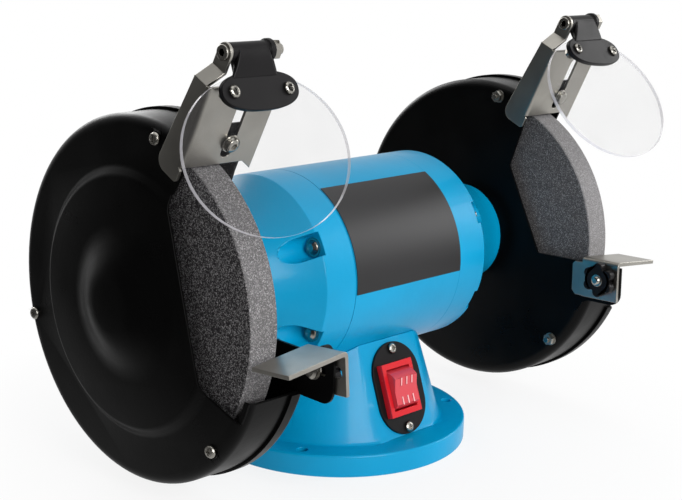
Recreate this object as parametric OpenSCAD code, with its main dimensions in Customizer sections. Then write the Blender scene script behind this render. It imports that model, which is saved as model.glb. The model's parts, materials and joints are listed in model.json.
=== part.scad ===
// Bench grinder with two 200 mm wheels.
// X runs along the shaft, -Y faces the user and Z is up.
// The origin is the centre of the base on the bench.

/* [Motor] */
// Height of the motor's underside above the bench
motor_low = 56.6; // [54:0.2:64]
// Outer radius of the motor
motor_r = 65; // [62:0.5:68]
// Half of the length of the stator shell
shell_half = 50; // [44:1:56]
// Wall of the stator shell
shell_wall = 4; // [3:0.5:5]
// Length of the straight rim of an end bell
bell_rim = 25.5; // [20:0.5:30]
// Distance from the motor's middle to the end of a bell's neck
bell_end = 133.5; // [126:0.5:133.5]
// Outer radius of a bell's neck
neck_r = 34.9; // [32:0.5:38]
// Wall of an end bell
bell_wall = 4; // [3.5:0.5:5]
// Distance of the through-bolt circle inside the stator shell
through_in = 4.5; // [4:0.5:6]
// Angle of each through bolt above or below the shaft, seen from the front
through_angle = 28.5; // [22:0.5:35]
// Radius of the stator's bore
stator_bore = 33.5; // [30:0.5:35]
// Half of the length of the laminated cores
core_half = 24; // [20:1:32]

/* [Shaft and bearings] */
// Diameter of the wheel seats on the shaft
seat_d = 16; // [14:0.5:16]
// Diameter of the bearing journals
journal_d = 17; // [17:0.5:18]
// Diameter of the shaft inside the rotor core
core_d = 20; // [19:0.5:24]
// Outer diameter of a bearing
bearing_od = 40; // [38:1:42]
// Width of a bearing
bearing_w = 12; // [10:1:12]
// Distance from the motor's middle to the near side of a bearing
bearing_x = 108; // [106:0.5:109]
// Distance from the motor's middle to each end of the shaft
shaft_half = 185.5; // [184:0.5:186.5]
// Radial running clearance between a wheel seat and what slides on it
seat_fit = 0.03; // [0.02:0.01:0.08]
// Air gap between rotor and stator
air_gap = 0.6; // [0.4:0.1:1]

/* [Wheels] */
// Diameter of a grinding wheel
wheel_d = 200; // [190:1:202]
// Width of a grinding wheel
wheel_w = 20; // [16:1:21]
// Distance from the motor's middle to the middle of a wheel
wheel_x = 159; // [158.5:0.5:160]
// Radius of a wheel flange
flange_r = 35; // [30:1:40]
// Thickness of a wheel flange at its rim
flange_t = 2.4; // [2:0.2:2.6]
// Depth of a wheel flange at its hub
flange_hub = 5.4; // [4.6:0.2:5.4]
// Thickness of a paper blotter
blotter_t = 0.6; // [0.4:0.1:0.8]
// Thickness of a shaft nut
shaft_nut_t = 8; // [6:0.5:8.5]
// Width of a shaft nut across its flats
shaft_nut_af = 24; // [22:1:26]

/* [Guards] */
// Distance of the guard's outside from the wheel's rim
guard_gap = 10.6; // [10:0.2:12]
// Depth of a guard over its two faces
guard_w = 40; // [39:0.5:41]
// Thickness of the guard sheet
sheet = 1.6; // [1.2:0.1:2]
// Outer corner radius of the cup
cup_corner = 7; // [6:0.5:10]
// Depth of the lid's lip over the cup
lid_lip = 8.5; // [6:0.5:10]
// Left guard's outer face, from the motor's middle
left_face = -174.5; // [-175:0.5:-173.5]
// Right guard's inner face, from the motor's middle
right_face = 141; // [140.5:0.5:141]
// Turn of the left guard about the shaft
left_turn = 1.5; // [0:0.5:2]
// Turn of the right guard about the shaft
right_turn = -1.5; // [-2:0.5:0]
// Distance of the guard-screw circle from the wheel's rim
guard_screw_out = 2.8; // [2.6:0.1:4]
// Angle of the first guard screw, from the top towards the user
guard_screw_at = 12.5; // [8:0.5:16]
// Lower edge of the open sector, from the top towards the user
open_to = 108; // [104:0.5:110]
// Height of the first step of the dome on an outer cover
dome_step = 5; // [3:0.5:5]
// Height of the boss in the middle of the dome
dome_boss = 15; // [14:0.5:17]

/* [Eye shields] */
// Lean of a bracket's front plate towards the user
bracket_lean = 26; // [22:1:30]
// Sheet thickness of the bracket
bracket_t = 2; // [1.5:0.1:2.5]
// Width of the bracket's front plate
bracket_w = 53; // [48:1:56]
// Height of the bracket's front plate
bracket_h = 52; // [50:1:56]
// Distance of the bracket's side flange outside the guard face
bracket_out = 6; // [5:0.5:8]
// Depth of the side flange at the bottom
bracket_flange = 19; // [17:0.5:20]
// Width of the bracket's slot
bracket_slot = 7.5; // [6.8:0.1:8]
// Radial gap between the bracket's lower edge and the wheel
bracket_gap = 2.4; // [1.5:0.1:4]
// Sideways step of the arm that carries the shield
arm_step = 9.5; // [7:0.5:11]
// Height of the shield pivot above the plate's lower edge
pivot_up = 69; // [67:0.5:74]
// Depth of the shield pivot behind the plate's front
pivot_back = 8; // [7:0.5:9]
// Diameter of the shield pivot bolt
pivot_d = 6; // [5:0.5:6]
// Length of the shield holder's barrel
barrel_w = 30; // [28:1:34]
// Diameter of the shield holder's barrel
barrel_d = 10.4; // [10:0.2:12]
// Tilt of the left shield from hanging straight down
left_tilt = 22; // [12:1:34]
// Tilt of the right shield from hanging straight down
right_tilt = 32; // [12:1:34]
// Sideways slant of the left shield
left_slant = 1; // [0:0.2:6]
// Sideways slant of the right shield
right_slant = 5.6; // [0:0.2:6]
// Width of the clear shield
lens_w = 119; // [105:1:122]
// Height of the clear shield
lens_h = 90; // [80:1:94]
// Thickness of the clear shield
lens_t = 2.5; // [2:0.5:3]
// Drop from the pivot to the middle of the clear shield
lens_drop = 56.4; // [52:0.5:60]

/* [Tool rests] */
// Length of the rest plate along the shaft
rest_w = 45; // [40:1:48]
// Depth of the rest plate from front to back
rest_d = 29; // [26:1:32]
// Sheet thickness of a tool rest
rest_t = 2.5; // [2:0.1:3]
// Height of the left rest's flange
left_flange = 26; // [24:1:29]
// Height of the right rest's flange
right_flange = 28; // [24:1:29]
// Length of the flange behind the rest plate
flange_back = 8; // [6:0.5:9]
// Upward tilt of the left rest's front edge
left_rest_tilt = 6; // [0:0.5:6]
// Droop of the rest plate's outer end
rest_droop = 6; // [0:1:8]
// Width of the slots for the rest bolt
rest_slot = 6.5; // [6.2:0.1:7]
// Diameter of the rest bolt
rest_bolt_d = 6; // [5:0.5:6]
// Distance of the left rest plate's near edge in front of the shaft
left_rest_y = 110; // [104:0.5:112]
// Distance of the right rest plate's near edge in front of the shaft
right_rest_y = 101.8; // [101.8:0.5:108]
// Distance of the left rest bolt in front of the rest plate's near edge
left_bolt_at = 6.5; // [4:0.5:10]
// Distance of the right rest bolt in front of the rest plate's near edge
right_bolt_at = 17; // [14:0.5:19]
// Outer radius of a rest knob
knob_r = 12; // [11:0.5:13]
// Thickness of a rest knob
knob_t = 6.5; // [6:0.5:9]

/* [Base and switch] */
// Radius of the base disc
base_r = 89.6; // [86:0.2:92]
// Thickness of the base disc
base_t = 14.5; // [12:0.5:16]
// Radius of the column at its foot
column_r = 72; // [70:0.5:74]
// Radius of the column at the gauge height
column_top_r = 54; // [52:0.5:56]
// Gauge height of the column's upper radius above the disc
column_gauge = 58.8; // [57:0.2:60]
// Wall of the column
column_wall = 4; // [3:0.5:5]
// Distance of the switch face in front of the middle, at its foot
face_foot = 68.3; // [67.5:0.1:69]
// Distance of the switch face in front of the middle, at the gauge height
face_top = 47.2; // [46.5:0.1:49]
// Half of the bolt spacing along the shaft
bolt_x = 70.6; // [68:0.2:71]
// Half of the bolt spacing from front to back
bolt_y = 41; // [39:0.2:41.4]
// Diameter of the bench bolt holes
bolt_hole = 7; // [6:0.5:8]
// Width of the switch plate
switch_w = 43.5; // [40:0.5:45]
// Height of the switch plate
switch_h = 61.5; // [58:0.5:62]
// Width of the rocker's frame
frame_w = 28.7; // [27:0.1:30]
// Height of the rocker's frame
frame_h = 35.2; // [33:0.1:36]
// Distance of the rocker's frame to the left of the plate's middle
frame_side = 3; // [0:0.5:4]
// Distance of the switch's middle up its face
switch_v = 31.4; // [31:0.2:32]

/* [Hidden] */
$fn = 96;
cut = 1;
m5 = 5;
m5_hole = 5.4;
m4 = 4;
m4_hole = 4.4;

// Colours
blue = "#2f9fd8";
gloss_black = "#17181a";
bright_zinc = "#c9ccc8";
steel = "#b4b7ba";
wheel_grey = "#6d6b6c";
plastic_black = "#1d1d1f";
switch_red = "#c8262c";
copper = "#b4672e";
clear = [0.85, 0.9, 0.93, 0.4];

// Derived sizes
wheel_r = wheel_d / 2;
guard_r = wheel_r + guard_gap;
guard_screw_r = wheel_r + guard_screw_out;
shaft_h = motor_low + motor_r;
wheel_in = wheel_x - wheel_w / 2;
wheel_out = wheel_x + wheel_w / 2;
shoulder_x = wheel_in - blotter_t - flange_hub;
nut_x = wheel_out + blotter_t + flange_hub;
shell_in = motor_r - shell_wall;
through_r = shell_in - through_in;
rim_end = shell_half + bell_rim;
thin_fit = 0.05;
slide_gap = 0.3;

// Guard outline
lid_play = 0.2;
lid_r = guard_r + lid_play + sheet;
lid_corner = 2.5;
hub_hole = 15;
dome_r = 82;
dome_in = 74;
boss_foot = 36;
boss_top = 25;
relief_angle = 7.2;
cover_cut_r = wheel_r - 20;
cover_cut_low = 10.5;
housing_cut_r = wheel_r - 38.8;
skin = 0.1;
corner_start = sheet + 3 * skin;
lug_top = -8.6;
far = 170;
mount_screw_r = 21.5;

// Eye shield bracket
plate_off = 7.3;
plate_low = sqrt(pow(wheel_r + bracket_gap, 2) - plate_off * plate_off);
tab_front = plate_off - bracket_t - slide_gap;
wall_back = tab_front - 0.3;
edge_back = wall_back - 0.6;
tab_w = 24;
tab_h = 25.5;
slot_u = bracket_w * 0.56 - bracket_out;
slot_low = 4.5;
slot_top = 44.5;
slot_bolt = 14.5;
tooth_w = 8;
tooth_h = 6;
flange_drop = 9.4;
flange_tip = 2.5;
bend_out = 3;
flange_round = 7;
flange_top = 13.6;
arm_half = 5.5;
arm_rise = 7.5;
pivot_y = -plate_off + pivot_back;
pivot_z = plate_low + pivot_up;
arm_u = arm_step - bracket_out;
barrel_u = arm_u + bracket_t + slide_gap + 0.1;
holder_u = barrel_u + barrel_w / 2;
collar_d = barrel_d + 2.2;
collar_w = 3.5;
plate_t = 3.6;
lens_y = 2.8;
holder_mid = 21.9;
holder_w = 54.6;
holder_h = 21.8;
holder_power = 2.4;
holder_neck = 27.5;
holder_side = 2.2;
lens_screw_x = 19.6;
lens_screw_d = 4;
bore_fit = 0.06;

// Tool rest
rest_z = -4.4;
rest_bolt_z = -17.3;
rest_w0 = -slide_gap - rest_t;
lug_front = guard_r + 20.9;
lug_low = -35.5;
lug_round = 8;
lug_root = guard_r - 20.6;
lug_foot = guard_r - 4.6;
lug_slot_near = wheel_r - 0.5;
lug_slot_far = guard_r + 15;
rest_slot_edge = 3;
rest_bend = 3;

// Column
column_slope = (column_r - column_top_r) / column_gauge;
column_high = 100;
column_lean = atan(column_slope);
foot_fillet = 3;
foot_x = column_r - column_slope * foot_fillet + foot_fillet / cos(column_lean);
face_angle = atan((face_foot - face_top) / column_gauge);
cavity_r = column_r - column_wall - 0.5;
recess_r = cavity_r + 6.8;
recess_h = 3.5;
cover_t = 1.5;
cover_screw_r = (cavity_r + recess_r) / 2;
cover_bottom = recess_h - cover_t;
wire_hole = 8;
saddle_angle = 22;
saddle_x = 36;
inlet_z = 27;
inlet_r = 7;

function polar(r, a) = [-r * sin(a), r * cos(a)];
function turned_by(p, a) = [p[0] * cos(a) - p[1] * sin(a), p[0] * sin(a) + p[1] * cos(a)];
function from_bracket(p) = turned_by(p, bracket_lean);
function arc(c, r, a0, a1, n = 8) =
    [for (i = [0:n]) c + r * [cos(a0 + (a1 - a0) * i / n), sin(a0 + (a1 - a0) * i / n)]];
function s_curve(p, q, n = 6) =
    [for (i = [0:n]) [p[0] + (q[0] - p[0]) * i / n, p[1] + (q[1] - p[1]) * (1 - cos(180 * i / n)) / 2]];
function reverse(v) = [for (i = [len(v) - 1:-1:0]) v[i]];
function column_at(z) = column_r - column_slope * (z - base_t);
function face_x(side) = side < 0 ? left_face : right_face;
function turn(side) = side < 0 ? left_turn : right_turn;
function tilt(side) = side < 0 ? left_tilt : right_tilt;
function slant(side) = side < 0 ? left_slant : right_slant;

// Sketch in the YZ plane, pulled along X from x0 to x1
module slab(x0, x1) translate([x0, 0, 0]) rotate([90, 0, 90]) linear_extrude(x1 - x0) children();
// Round bar along X
module rod(r, x0, x1, y = 0, z = 0) translate([x0, y, z]) rotate([0, 90, 0]) cylinder(h = x1 - x0, r = r);
// Tube along X
module tube(ro, ri, x0, x1) difference() {
    rod(ro, x0, x1);
    rod(ri, x0 - cut, x1 + cut);
}
// Profile of [radius, x] points turned about X
module turned(points) rotate([0, 90, 0]) rotate_extrude() polygon(points);
// Hexagon bar along X
module hex_bar(af, x0, x1, y = 0, z = 0)
    translate([x0, y, z]) rotate([0, 90, 0]) cylinder(h = x1 - x0, d = af / cos(30), $fn = 6);
module on_shaft() translate([0, 0, shaft_h]) children();
module both_sides() {
    children();
    mirror([1, 0, 0]) children();
}
// Frame of one guard: x from its -X face, y and z from the shaft
module on_guard(side) translate([face_x(side), 0, shaft_h]) rotate([turn(side), 0, 0]) children();
// The same frame with x measured from the motor-side face towards the wheel
module from_motor(side) on_guard(side) {
    if (side < 0) translate([guard_w, 0, 0]) mirror([1, 0, 0]) children();
    else children();
}
// Frame of one eye-shield bracket: y back and z up along its plate, from the shaft
module on_bracket(side) on_guard(side) rotate([bracket_lean, 0, 0]) children();
// Frame of one hanging shield: the pivot is the origin and -z hangs down the shield
module on_shield(side) on_bracket(side) translate([holder_u, pivot_y, pivot_z])
    rotate([-tilt(side) - bracket_lean, 0, 0]) children();
// The same frame moved to the middle of the holder's plate, with x and z in the slanted plate
module on_plate(side) on_shield(side) translate([holder_side, 0, -holder_mid])
    rotate([0, slant(side), 0]) children();
// Frame of the switch face: y inwards and z up the face
module on_face() translate([0, -face_foot, base_t]) rotate([-face_angle, 0, 0]) children();

// ---- Base ----
module column_outside() {
    rotate_extrude() polygon(concat(
        [[0, 0], [base_r, 0]],
        arc([base_r - 1.5, base_t - 1.5], 1.5, 0, 90, 4),
        arc([foot_x, base_t + foot_fillet], foot_fillet, 270, 180 + column_lean, 4),
        [[column_at(column_high), column_high], [0, column_high]]));
}
module behind_face(inset) on_face() translate([-far / 2, inset, -far / 2]) cube([far, far, 2 * far]);
module base_casting() color(blue) difference() {
    intersection() {
        column_outside();
        union() {
            cylinder(h = base_t, r = base_r + cut);
            behind_face(0);
        }
    }
    on_shaft() rod(motor_r + thin_fit, -far / 2, far / 2);
    translate([0, 0, -cut]) cylinder(h = recess_h + cut, r = recess_r);
    difference() {
        intersection() {
            rotate_extrude() polygon([[0, recess_h - cut], [cavity_r, recess_h - cut], [cavity_r, base_t],
                [cavity_r - column_slope * (column_high - base_t), column_high], [0, column_high]]);
            union() {
                behind_face(column_wall);
                cylinder(h = base_t - column_wall, r = base_r);
            }
        }
        on_shaft() rod(motor_r + column_wall, -far, far);
    }
    for (x = [-bolt_x, bolt_x], y = [-bolt_y, bolt_y])
        translate([x, y, -cut]) cylinder(h = base_t + 2 * cut, d = bolt_hole);
    for (a = [30:120:270]) rotate([0, 0, a]) translate([cover_screw_r, 0, 0]) cylinder(h = 9, r = 1.55);
    wire_passage();
    saddle_holes(2.7);
    on_inlet() translate([0, 0, -column_wall * 3]) cylinder(h = column_wall * 6, r = inlet_r);
    face_slab(-cut, column_wall + 4) frame_hole();
    face_slab(-cut, column_wall + 4) for (s = [-1, 1]) translate([0, s * switch_screw_v]) circle(r = 2.05);
}
module wire_passage() translate([0, 0, shaft_h - motor_r - 2 * column_wall])
    cylinder(h = 5 * column_wall, r = wire_hole);
module on_inlet() translate([0, column_at(inlet_z), inlet_z]) rotate([-90 + column_lean, 0, 0]) children();
module saddle_holes(r) on_shaft() for (x = [-saddle_x, saddle_x], a = [-saddle_angle, saddle_angle])
    rotate([a, 0, 0]) translate([x, 0, -motor_r - 2 * column_wall])
        cylinder(h = 3 * column_wall - 0.2, r = r);
module saddle_screws() color(steel) on_shaft()
    for (x = [-saddle_x, saddle_x], a = [-saddle_angle, saddle_angle]) rotate([a, 0, 0])
        translate([x, 0, -motor_r - column_wall]) {
            translate([0, 0, -1]) cylinder(h = column_wall + shell_wall, r = m5 / 2);
            translate([0, 0, -3.5]) cylinder(h = 3.5 - thin_fit, r = 4.5);
        }
module bottom_plate() color(steel) difference() {
    translate([0, 0, cover_bottom]) cylinder(h = cover_t - thin_fit, r = recess_r - 0.4);
    for (a = [30:120:270]) rotate([0, 0, a]) translate([cover_screw_r, 0, 0]) cylinder(h = 9, r = 1.7);
}
module bottom_plate_screws() color(steel) for (a = [30:120:270])
    rotate([0, 0, a]) translate([cover_screw_r, 0, 0]) {
        translate([0, 0, cover_bottom - 1.6]) cylinder(h = 1.6 - thin_fit, r = 3);
        translate([0, 0, cover_bottom - 1]) cylinder(h = 7, r = 1.5);
    }
module cable_grommet() color(plastic_black) on_inlet() difference() {
    union() {
        translate([0, 0, thin_fit]) cylinder(h = 2.5, r = inlet_r + 2.5);
        translate([0, 0, -column_wall - 1]) cylinder(h = column_wall + 2, r = inlet_r - 0.1);
    }
    translate([0, 0, -column_wall * 2]) cylinder(h = column_wall * 4, r = 4);
}
cap_r = 15;
cap_half = 27;
cap_y = 26;
tag = [6.1, 0.8, 6];
clamp_half = 7;
clamp_foot = 9;
cap_z = recess_h + cap_r + 1.6;
module start_capacitor() color("gainsboro") {
    rod(cap_r, -cap_half, cap_half, cap_y, cap_z);
    for (s = [-1, 1]) translate([cap_half + tag[0] / 2 - 0.05, cap_y + s * cap_r / 3, cap_z])
        cube(tag, center = true);
}
module capacitor_clamp() color(steel) difference() {
    union() {
        rod(cap_r + 1.3, -clamp_half, clamp_half, cap_y, cap_z);
        translate([-clamp_half, cap_y - cap_r - clamp_foot, recess_h])
            cube([2 * clamp_half, 2 * (cap_r + clamp_foot), 1.2]);
    }
    rod(cap_r + thin_fit, -clamp_half - cut, clamp_half + cut, cap_y, cap_z);
    for (s = [-1, 1]) translate([0, cap_y + s * (cap_r + clamp_foot * 0.6), 0]) cylinder(h = 9, r = 2);
}
block = [40, 16, 13];
block_y = -18;
block_pitch = 13;
module terminal_block() color("ivory") difference() {
    translate([-block[0] / 2, block_y - block[1] / 2, recess_h]) cube(block);
    for (i = [-1:1]) translate([i * block_pitch, block_y, recess_h + 4]) {
        cylinder(h = 2 * block[2], r = 3);
        translate([0, -block[1], 1]) rotate([-90, 0, 0]) cylinder(h = 2 * block[1], r = 2.2);
    }
}

// ---- Switch ----
switch_plate_t = 2;
frame_out = 5;
rocker_w = 21;
rocker_r = 13.2;
rocker_pivot = -1.5;
rocker_rest = 9;
rocker_vee = 9;
body_deep = 22;
switch_screw_v = 26.3;
module stadium(w, h) union() {
    for (s = [-1, 1]) translate([0, s * (h - w) / 2]) circle(d = w);
    square([w, h - w], center = true);
}
// Sketch in the plane of the switch face, pulled from y0 to y1
module face_slab(y0, y1) on_face() translate([0, y1, switch_v]) rotate([90, 0, 0])
    linear_extrude(y1 - y0) children();
module at_frame() translate([-frame_side, 0]) children();
module frame_hole() at_frame() square([frame_w - 2, frame_h - 4], center = true);
module switch_plate() color(plastic_black) difference() {
    face_slab(-switch_plate_t, -thin_fit) stadium(switch_w, switch_h);
    face_slab(-far, far) {
        frame_hole();
        for (s = [-1, 1]) translate([0, s * switch_screw_v]) circle(d = 4.3);
    }
}
module switch_screws() color(bright_zinc) for (s = [-1, 1])
    on_face() translate([0, -switch_plate_t, switch_v + s * switch_screw_v]) rotate([90, 0, 0]) {
        translate([0, 0, thin_fit]) cylinder(h = 1.2, r = 3.7);
        translate([0, 0, 1.2]) cylinder(h = 1, r1 = 3.7, r2 = 2.2);
        translate([0, 0, -switch_plate_t - column_wall])
            cylinder(h = switch_plate_t + column_wall + cut, r = 2);
    }
module switch_body() color(switch_red) difference() {
    union() {
        face_slab(-switch_plate_t - frame_out, -switch_plate_t - thin_fit)
            at_frame() square([frame_w, frame_h], center = true);
        face_slab(-switch_plate_t - 1, body_deep)
            at_frame() square([frame_w - 2.6, frame_h - 4.6], center = true);
    }
    face_slab(-far, 10) at_frame() square([rocker_w + 0.8, 2 * rocker_r + 0.8], center = true);
    on_face() translate([-frame_side, 0, 0])
        rod(1.6, -rocker_w / 2 - 2, rocker_w / 2 + 2, rocker_pivot, switch_v);
}
module switch_rocker() color(switch_red) on_face() translate([-frame_side, rocker_pivot, switch_v])
    rotate([rocker_rest, 0, 0]) {
        intersection() {
            rod(rocker_r, -rocker_w / 2, rocker_w / 2);
            union() for (s = [0, 1]) mirror([0, 0, s]) rotate([rocker_vee, 0, 0])
                translate([-rocker_w / 2, -8.6, -1.4]) cube([rocker_w, 12, 2 * rocker_r]);
        }
        rod(1.5, -rocker_w / 2 - 1.8, rocker_w / 2 + 1.8);
        for (s = [0, 1], x = [-5, 0, 5]) mirror([0, 0, s]) rotate([rocker_vee, 0, 0])
            translate([x - 0.6, -9.2, 5]) cube([1.2, 1, 5.5]);
    }

// ---- Motor ----
module stator_shell() color(blue) difference() {
    on_shaft() tube(motor_r, shell_in, -shell_half, shell_half);
    saddle_holes(m5 / 2 + thin_fit);
    wire_passage();
}
slot_count = 24;
slot_near = stator_bore + 2;
slot_far = shell_in - 10;
slot_width = 4;
module stator_core() color("#8d9092") on_shaft() difference() {
    tube(shell_in - thin_fit, stator_bore, -core_half, core_half);
    for (i = [0:slot_count - 1]) rotate([i * 360 / slot_count, 0, 0])
        translate([-far, -slot_width / 2, slot_near]) cube([2 * far, slot_width, slot_far - slot_near]);
    at_through() slab(-far, far) {
        circle(r = m5 / 2 + 0.5);
        translate([-m5 / 2 - 0.5, 0]) square([m5 + 1, 10]);
    }
}
// Places its children at each through bolt, with +Z pointing away from the shaft
module at_through() for (s = [90, 270], a = [-through_angle, through_angle])
    rotate([s + a, 0, 0]) translate([0, 0, through_r]) children();
module stator_winding() color(copper) on_shaft() {
    both_sides() tube(slot_far - 0.5, slot_near + 0.5, core_half + 0.3, core_half + 13);
    for (i = [0:slot_count - 1]) rotate([i * 360 / slot_count, 0, 0])
        translate([-core_half - 1, -slot_width / 2 + 0.2, slot_near + 0.5])
            cube([2 * core_half + 2, slot_width - 0.4, slot_far - slot_near - 1]);
}
spigot_in = shell_in - 1.6;
spigot_l = 4;
hub_start = 104;
taper_power = 1.6;
pocket_r = 7.5;
pocket_floor = rim_end - 2.5;
boss_r = 10;
taper_steps = 8;
function bell_taper() = [for (i = [0:taper_steps]) let (s = i / taper_steps)
    [neck_r + (motor_r - neck_r) * pow(1 - s, taper_power), rim_end + (bell_end - 2 - rim_end) * s]];
nose_r = 27;
function bell_outline(nose_end) = concat([[0, shell_half + thin_fit], [motor_r, shell_half + thin_fit]],
    bell_taper(), [[neck_r, bell_end - 2], [neck_r - 2, bell_end], [nose_r, bell_end],
        [nose_r, nose_end], [0, nose_end]]);
module bell(nose_end, bearing_play, screw_turn) difference() {
    union() {
        difference() {
            turned(bell_outline(nose_end));
            turned([[0, 0], [spigot_in, 0], [spigot_in, rim_end - bell_wall], [neck_r + 1, hub_start],
                [0, hub_start]]);
        }
        tube(shell_in - thin_fit, spigot_in, shell_half - spigot_l, shell_half + 1);
        intersection() {
            turned(bell_outline(nose_end));
            at_through() rod(boss_r, pocket_floor - 7, rim_end + 20);
        }
    }
    rod(bearing_od / 2 + 0.03, hub_start - cut, bearing_x + bearing_w + bearing_play);
    rod(12, hub_start - cut, far * 2);
    at_through() rod(m5_hole / 2, 0, far * 2);
    at_through() slab(pocket_floor, far * 2) {
        circle(r = pocket_r);
        translate([-pocket_r, 0]) square([2 * pocket_r, 20]);
    }
    rotate([screw_turn, 0, 0]) mount_holes(m5 / 2 + thin_fit, nose_end - 12.5, far * 2);
}
module end_bell_left() color(blue) on_shaft() mirror([1, 0, 0])
    bell(-left_face - guard_w - thin_fit, 0.1, left_turn);
module end_bell_right() color(blue) on_shaft() bell(right_face - thin_fit, 1, right_turn);
module through_bolts() color(bright_zinc) on_shaft() at_through() {
    rod(m5 / 2, -pocket_floor - 1, pocket_floor + 8);
    turned([[0, -pocket_floor - 3.4], [2.6, -pocket_floor - 3.1], [4.4, -pocket_floor - 1.6],
        [4.6, -pocket_floor - 0.9], [6, -pocket_floor - 0.9], [6, -pocket_floor - thin_fit],
        [0, -pocket_floor]]);
}
module through_bolt_nuts() color(bright_zinc) on_shaft() at_through() difference() {
    union() {
        rod(6, pocket_floor + thin_fit, pocket_floor + 1);
        hex_bar(8, pocket_floor + 0.9, pocket_floor + 5);
    }
    rod(m5 / 2 + thin_fit, pocket_floor - cut, pocket_floor + 9);
}
plate_half = shell_half - 0.5;
module rating_plate() color(gloss_black) on_shaft() intersection() {
    tube(motor_r + 0.6, motor_r + thin_fit, -plate_half, plate_half);
    slab(-plate_half - cut, plate_half + cut)
        polygon([[0, 0], polar(far, 28.2), polar(far, 60), polar(far, 93.8)]);
}

// ---- Rotor ----
thread_d = seat_d - 0.2;
module rotor_shaft() color(steel) on_shaft() {
    turned([[0, -bearing_x + 2], [core_d / 2, -bearing_x + 2], [core_d / 2, bearing_x - 2],
        [0, bearing_x - 2]]);
    both_sides() turned([[0, bearing_x - 3], [journal_d / 2 - 0.02, bearing_x - 3],
        [journal_d / 2 - 0.02, shoulder_x], [seat_d / 2 - 0.02, shoulder_x], [seat_d / 2 - 0.02, wheel_out],
        [thread_d / 2, wheel_out + 1], [thread_d / 2, shaft_half - 1.2], [thread_d / 2 - 1.2, shaft_half],
        [0, shaft_half]]);
}
module rotor_core() color("#9b9ea0") on_shaft() difference() {
    union() {
        rod(stator_bore - air_gap, -core_half, core_half);
        both_sides() tube(stator_bore - air_gap - 2, core_d / 2 + 6, core_half - 1, core_half + 8);
    }
    rod(core_d / 2 + thin_fit / 2, -core_half - 20, core_half + 20);
}
pitch_r = (journal_d + bearing_od) / 4;
ball_r = 3.2;
ball_play = 0.12;
race_t = 3.2;
ball_count = 8;
cage_half = 4.6;
module race_groove() rotate([0, 90, 0]) rotate_extrude()
    translate([pitch_r, 0]) circle(r = ball_r + ball_play);
module at_bearings() both_sides() translate([bearing_x + bearing_w / 2, 0, 0]) children();
module bearing_outer_rings() color(steel) on_shaft() at_bearings() difference() {
    tube(bearing_od / 2, bearing_od / 2 - race_t, -bearing_w / 2, bearing_w / 2);
    race_groove();
}
module bearing_inner_rings() color(steel) on_shaft() at_bearings() difference() {
    tube(journal_d / 2 + race_t, journal_d / 2, -bearing_w / 2, bearing_w / 2);
    race_groove();
}
module at_balls() for (i = [0:ball_count - 1]) rotate([i * 360 / ball_count, 0, 0])
    translate([0, 0, pitch_r]) children();
module bearing_balls() color("silver") on_shaft() at_bearings() at_balls() sphere(r = ball_r);
module bearing_cages() color("#c79a4b") on_shaft() at_bearings() difference() {
    tube(pitch_r + 1.2, pitch_r - 1.2, -cage_half, cage_half);
    at_balls() sphere(r = ball_r + thin_fit);
}
module preload_washer() color(steel) on_shaft()
    translate([bearing_x + bearing_w + thin_fit, 0, 0])
        tube(bearing_od / 2 - 0.3, bearing_od / 2 - 4, 0, 0.85);

// ---- Wheels ----
module wheel() color(wheel_grey) on_shaft() {
    edge = 0.8;
    turned([[seat_d / 2 + seat_fit, wheel_in], [wheel_r - edge, wheel_in], [wheel_r, wheel_in + edge],
        [wheel_r, wheel_out - edge], [wheel_r - edge, wheel_out], [seat_d / 2 + seat_fit, wheel_out]]);
}
module wheel_left() mirror([1, 0, 0]) wheel();
module wheel_right() wheel();
function flange_profile() = [[seat_d / 2 + seat_fit, 0.8], [flange_r - 8, 0.8], [flange_r - 8, thin_fit],
    [flange_r, thin_fit], [flange_r, flange_t], [16, flange_t], [14, flange_hub],
    [seat_d / 2 + seat_fit, flange_hub]];
module inner_flanges() color(steel) on_shaft() both_sides() translate([wheel_in - blotter_t, 0, 0])
    mirror([1, 0, 0]) turned(flange_profile());
module outer_flanges() color(steel) on_shaft() both_sides() translate([wheel_out + blotter_t, 0, 0])
    turned(flange_profile());
module wheel_blotters() color("#e8e2cf") on_shaft() both_sides() for (x = [wheel_in - blotter_t, wheel_out])
    tube(flange_r + 2, seat_d / 2 + 0.4, x, x + blotter_t);
module shaft_nuts() color(steel) on_shaft() both_sides() difference() {
    intersection() {
        hex_bar(shaft_nut_af, nut_x + thin_fit, nut_x + shaft_nut_t);
        turned([[0, nut_x], [shaft_nut_af * 0.6, nut_x], [shaft_nut_af * 0.6, nut_x + shaft_nut_t - 1.6],
            [shaft_nut_af * 0.48, nut_x + shaft_nut_t], [0, nut_x + shaft_nut_t]]);
    }
    rod(thread_d / 2 + thin_fit, nut_x - cut, nut_x + 20);
}

// ---- Guards ----
function dome() = concat(s_curve([dome_r, 0], [dome_in, dome_step]),
    s_curve([boss_foot, dome_step], [boss_top, dome_boss]), [[0, dome_boss]]);
function flip(v, x, lift) = [for (p = v) [p[0], x + lift * p[1]]];
wall_end = guard_w - sheet - lid_play;
function cup_profile(domed) = concat(
    domed ? reverse(flip(dome(), 0, -1)) : [[hub_hole, 0]],
    arc([guard_r - cup_corner, cup_corner], cup_corner, -90, 0),
    [[guard_r, wall_end], [guard_r - sheet, wall_end]],
    arc([guard_r - cup_corner, cup_corner], cup_corner - sheet, 0, -90),
    domed ? flip(dome(), sheet, -1) : [[hub_hole, sheet]]);
function lid_profile(domed) = concat(
    domed ? reverse(flip(dome(), guard_w, 1)) : [[hub_hole, guard_w]],
    arc([lid_r - lid_corner, guard_w - lid_corner], lid_corner, 90, 0, 4),
    [[lid_r, guard_w - lid_lip], [guard_r + lid_play, guard_w - lid_lip],
        [guard_r + lid_play, guard_w - sheet]],
    domed ? flip(dome(), guard_w - sheet, 1) : [[hub_hole, guard_w - sheet]]);
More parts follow.
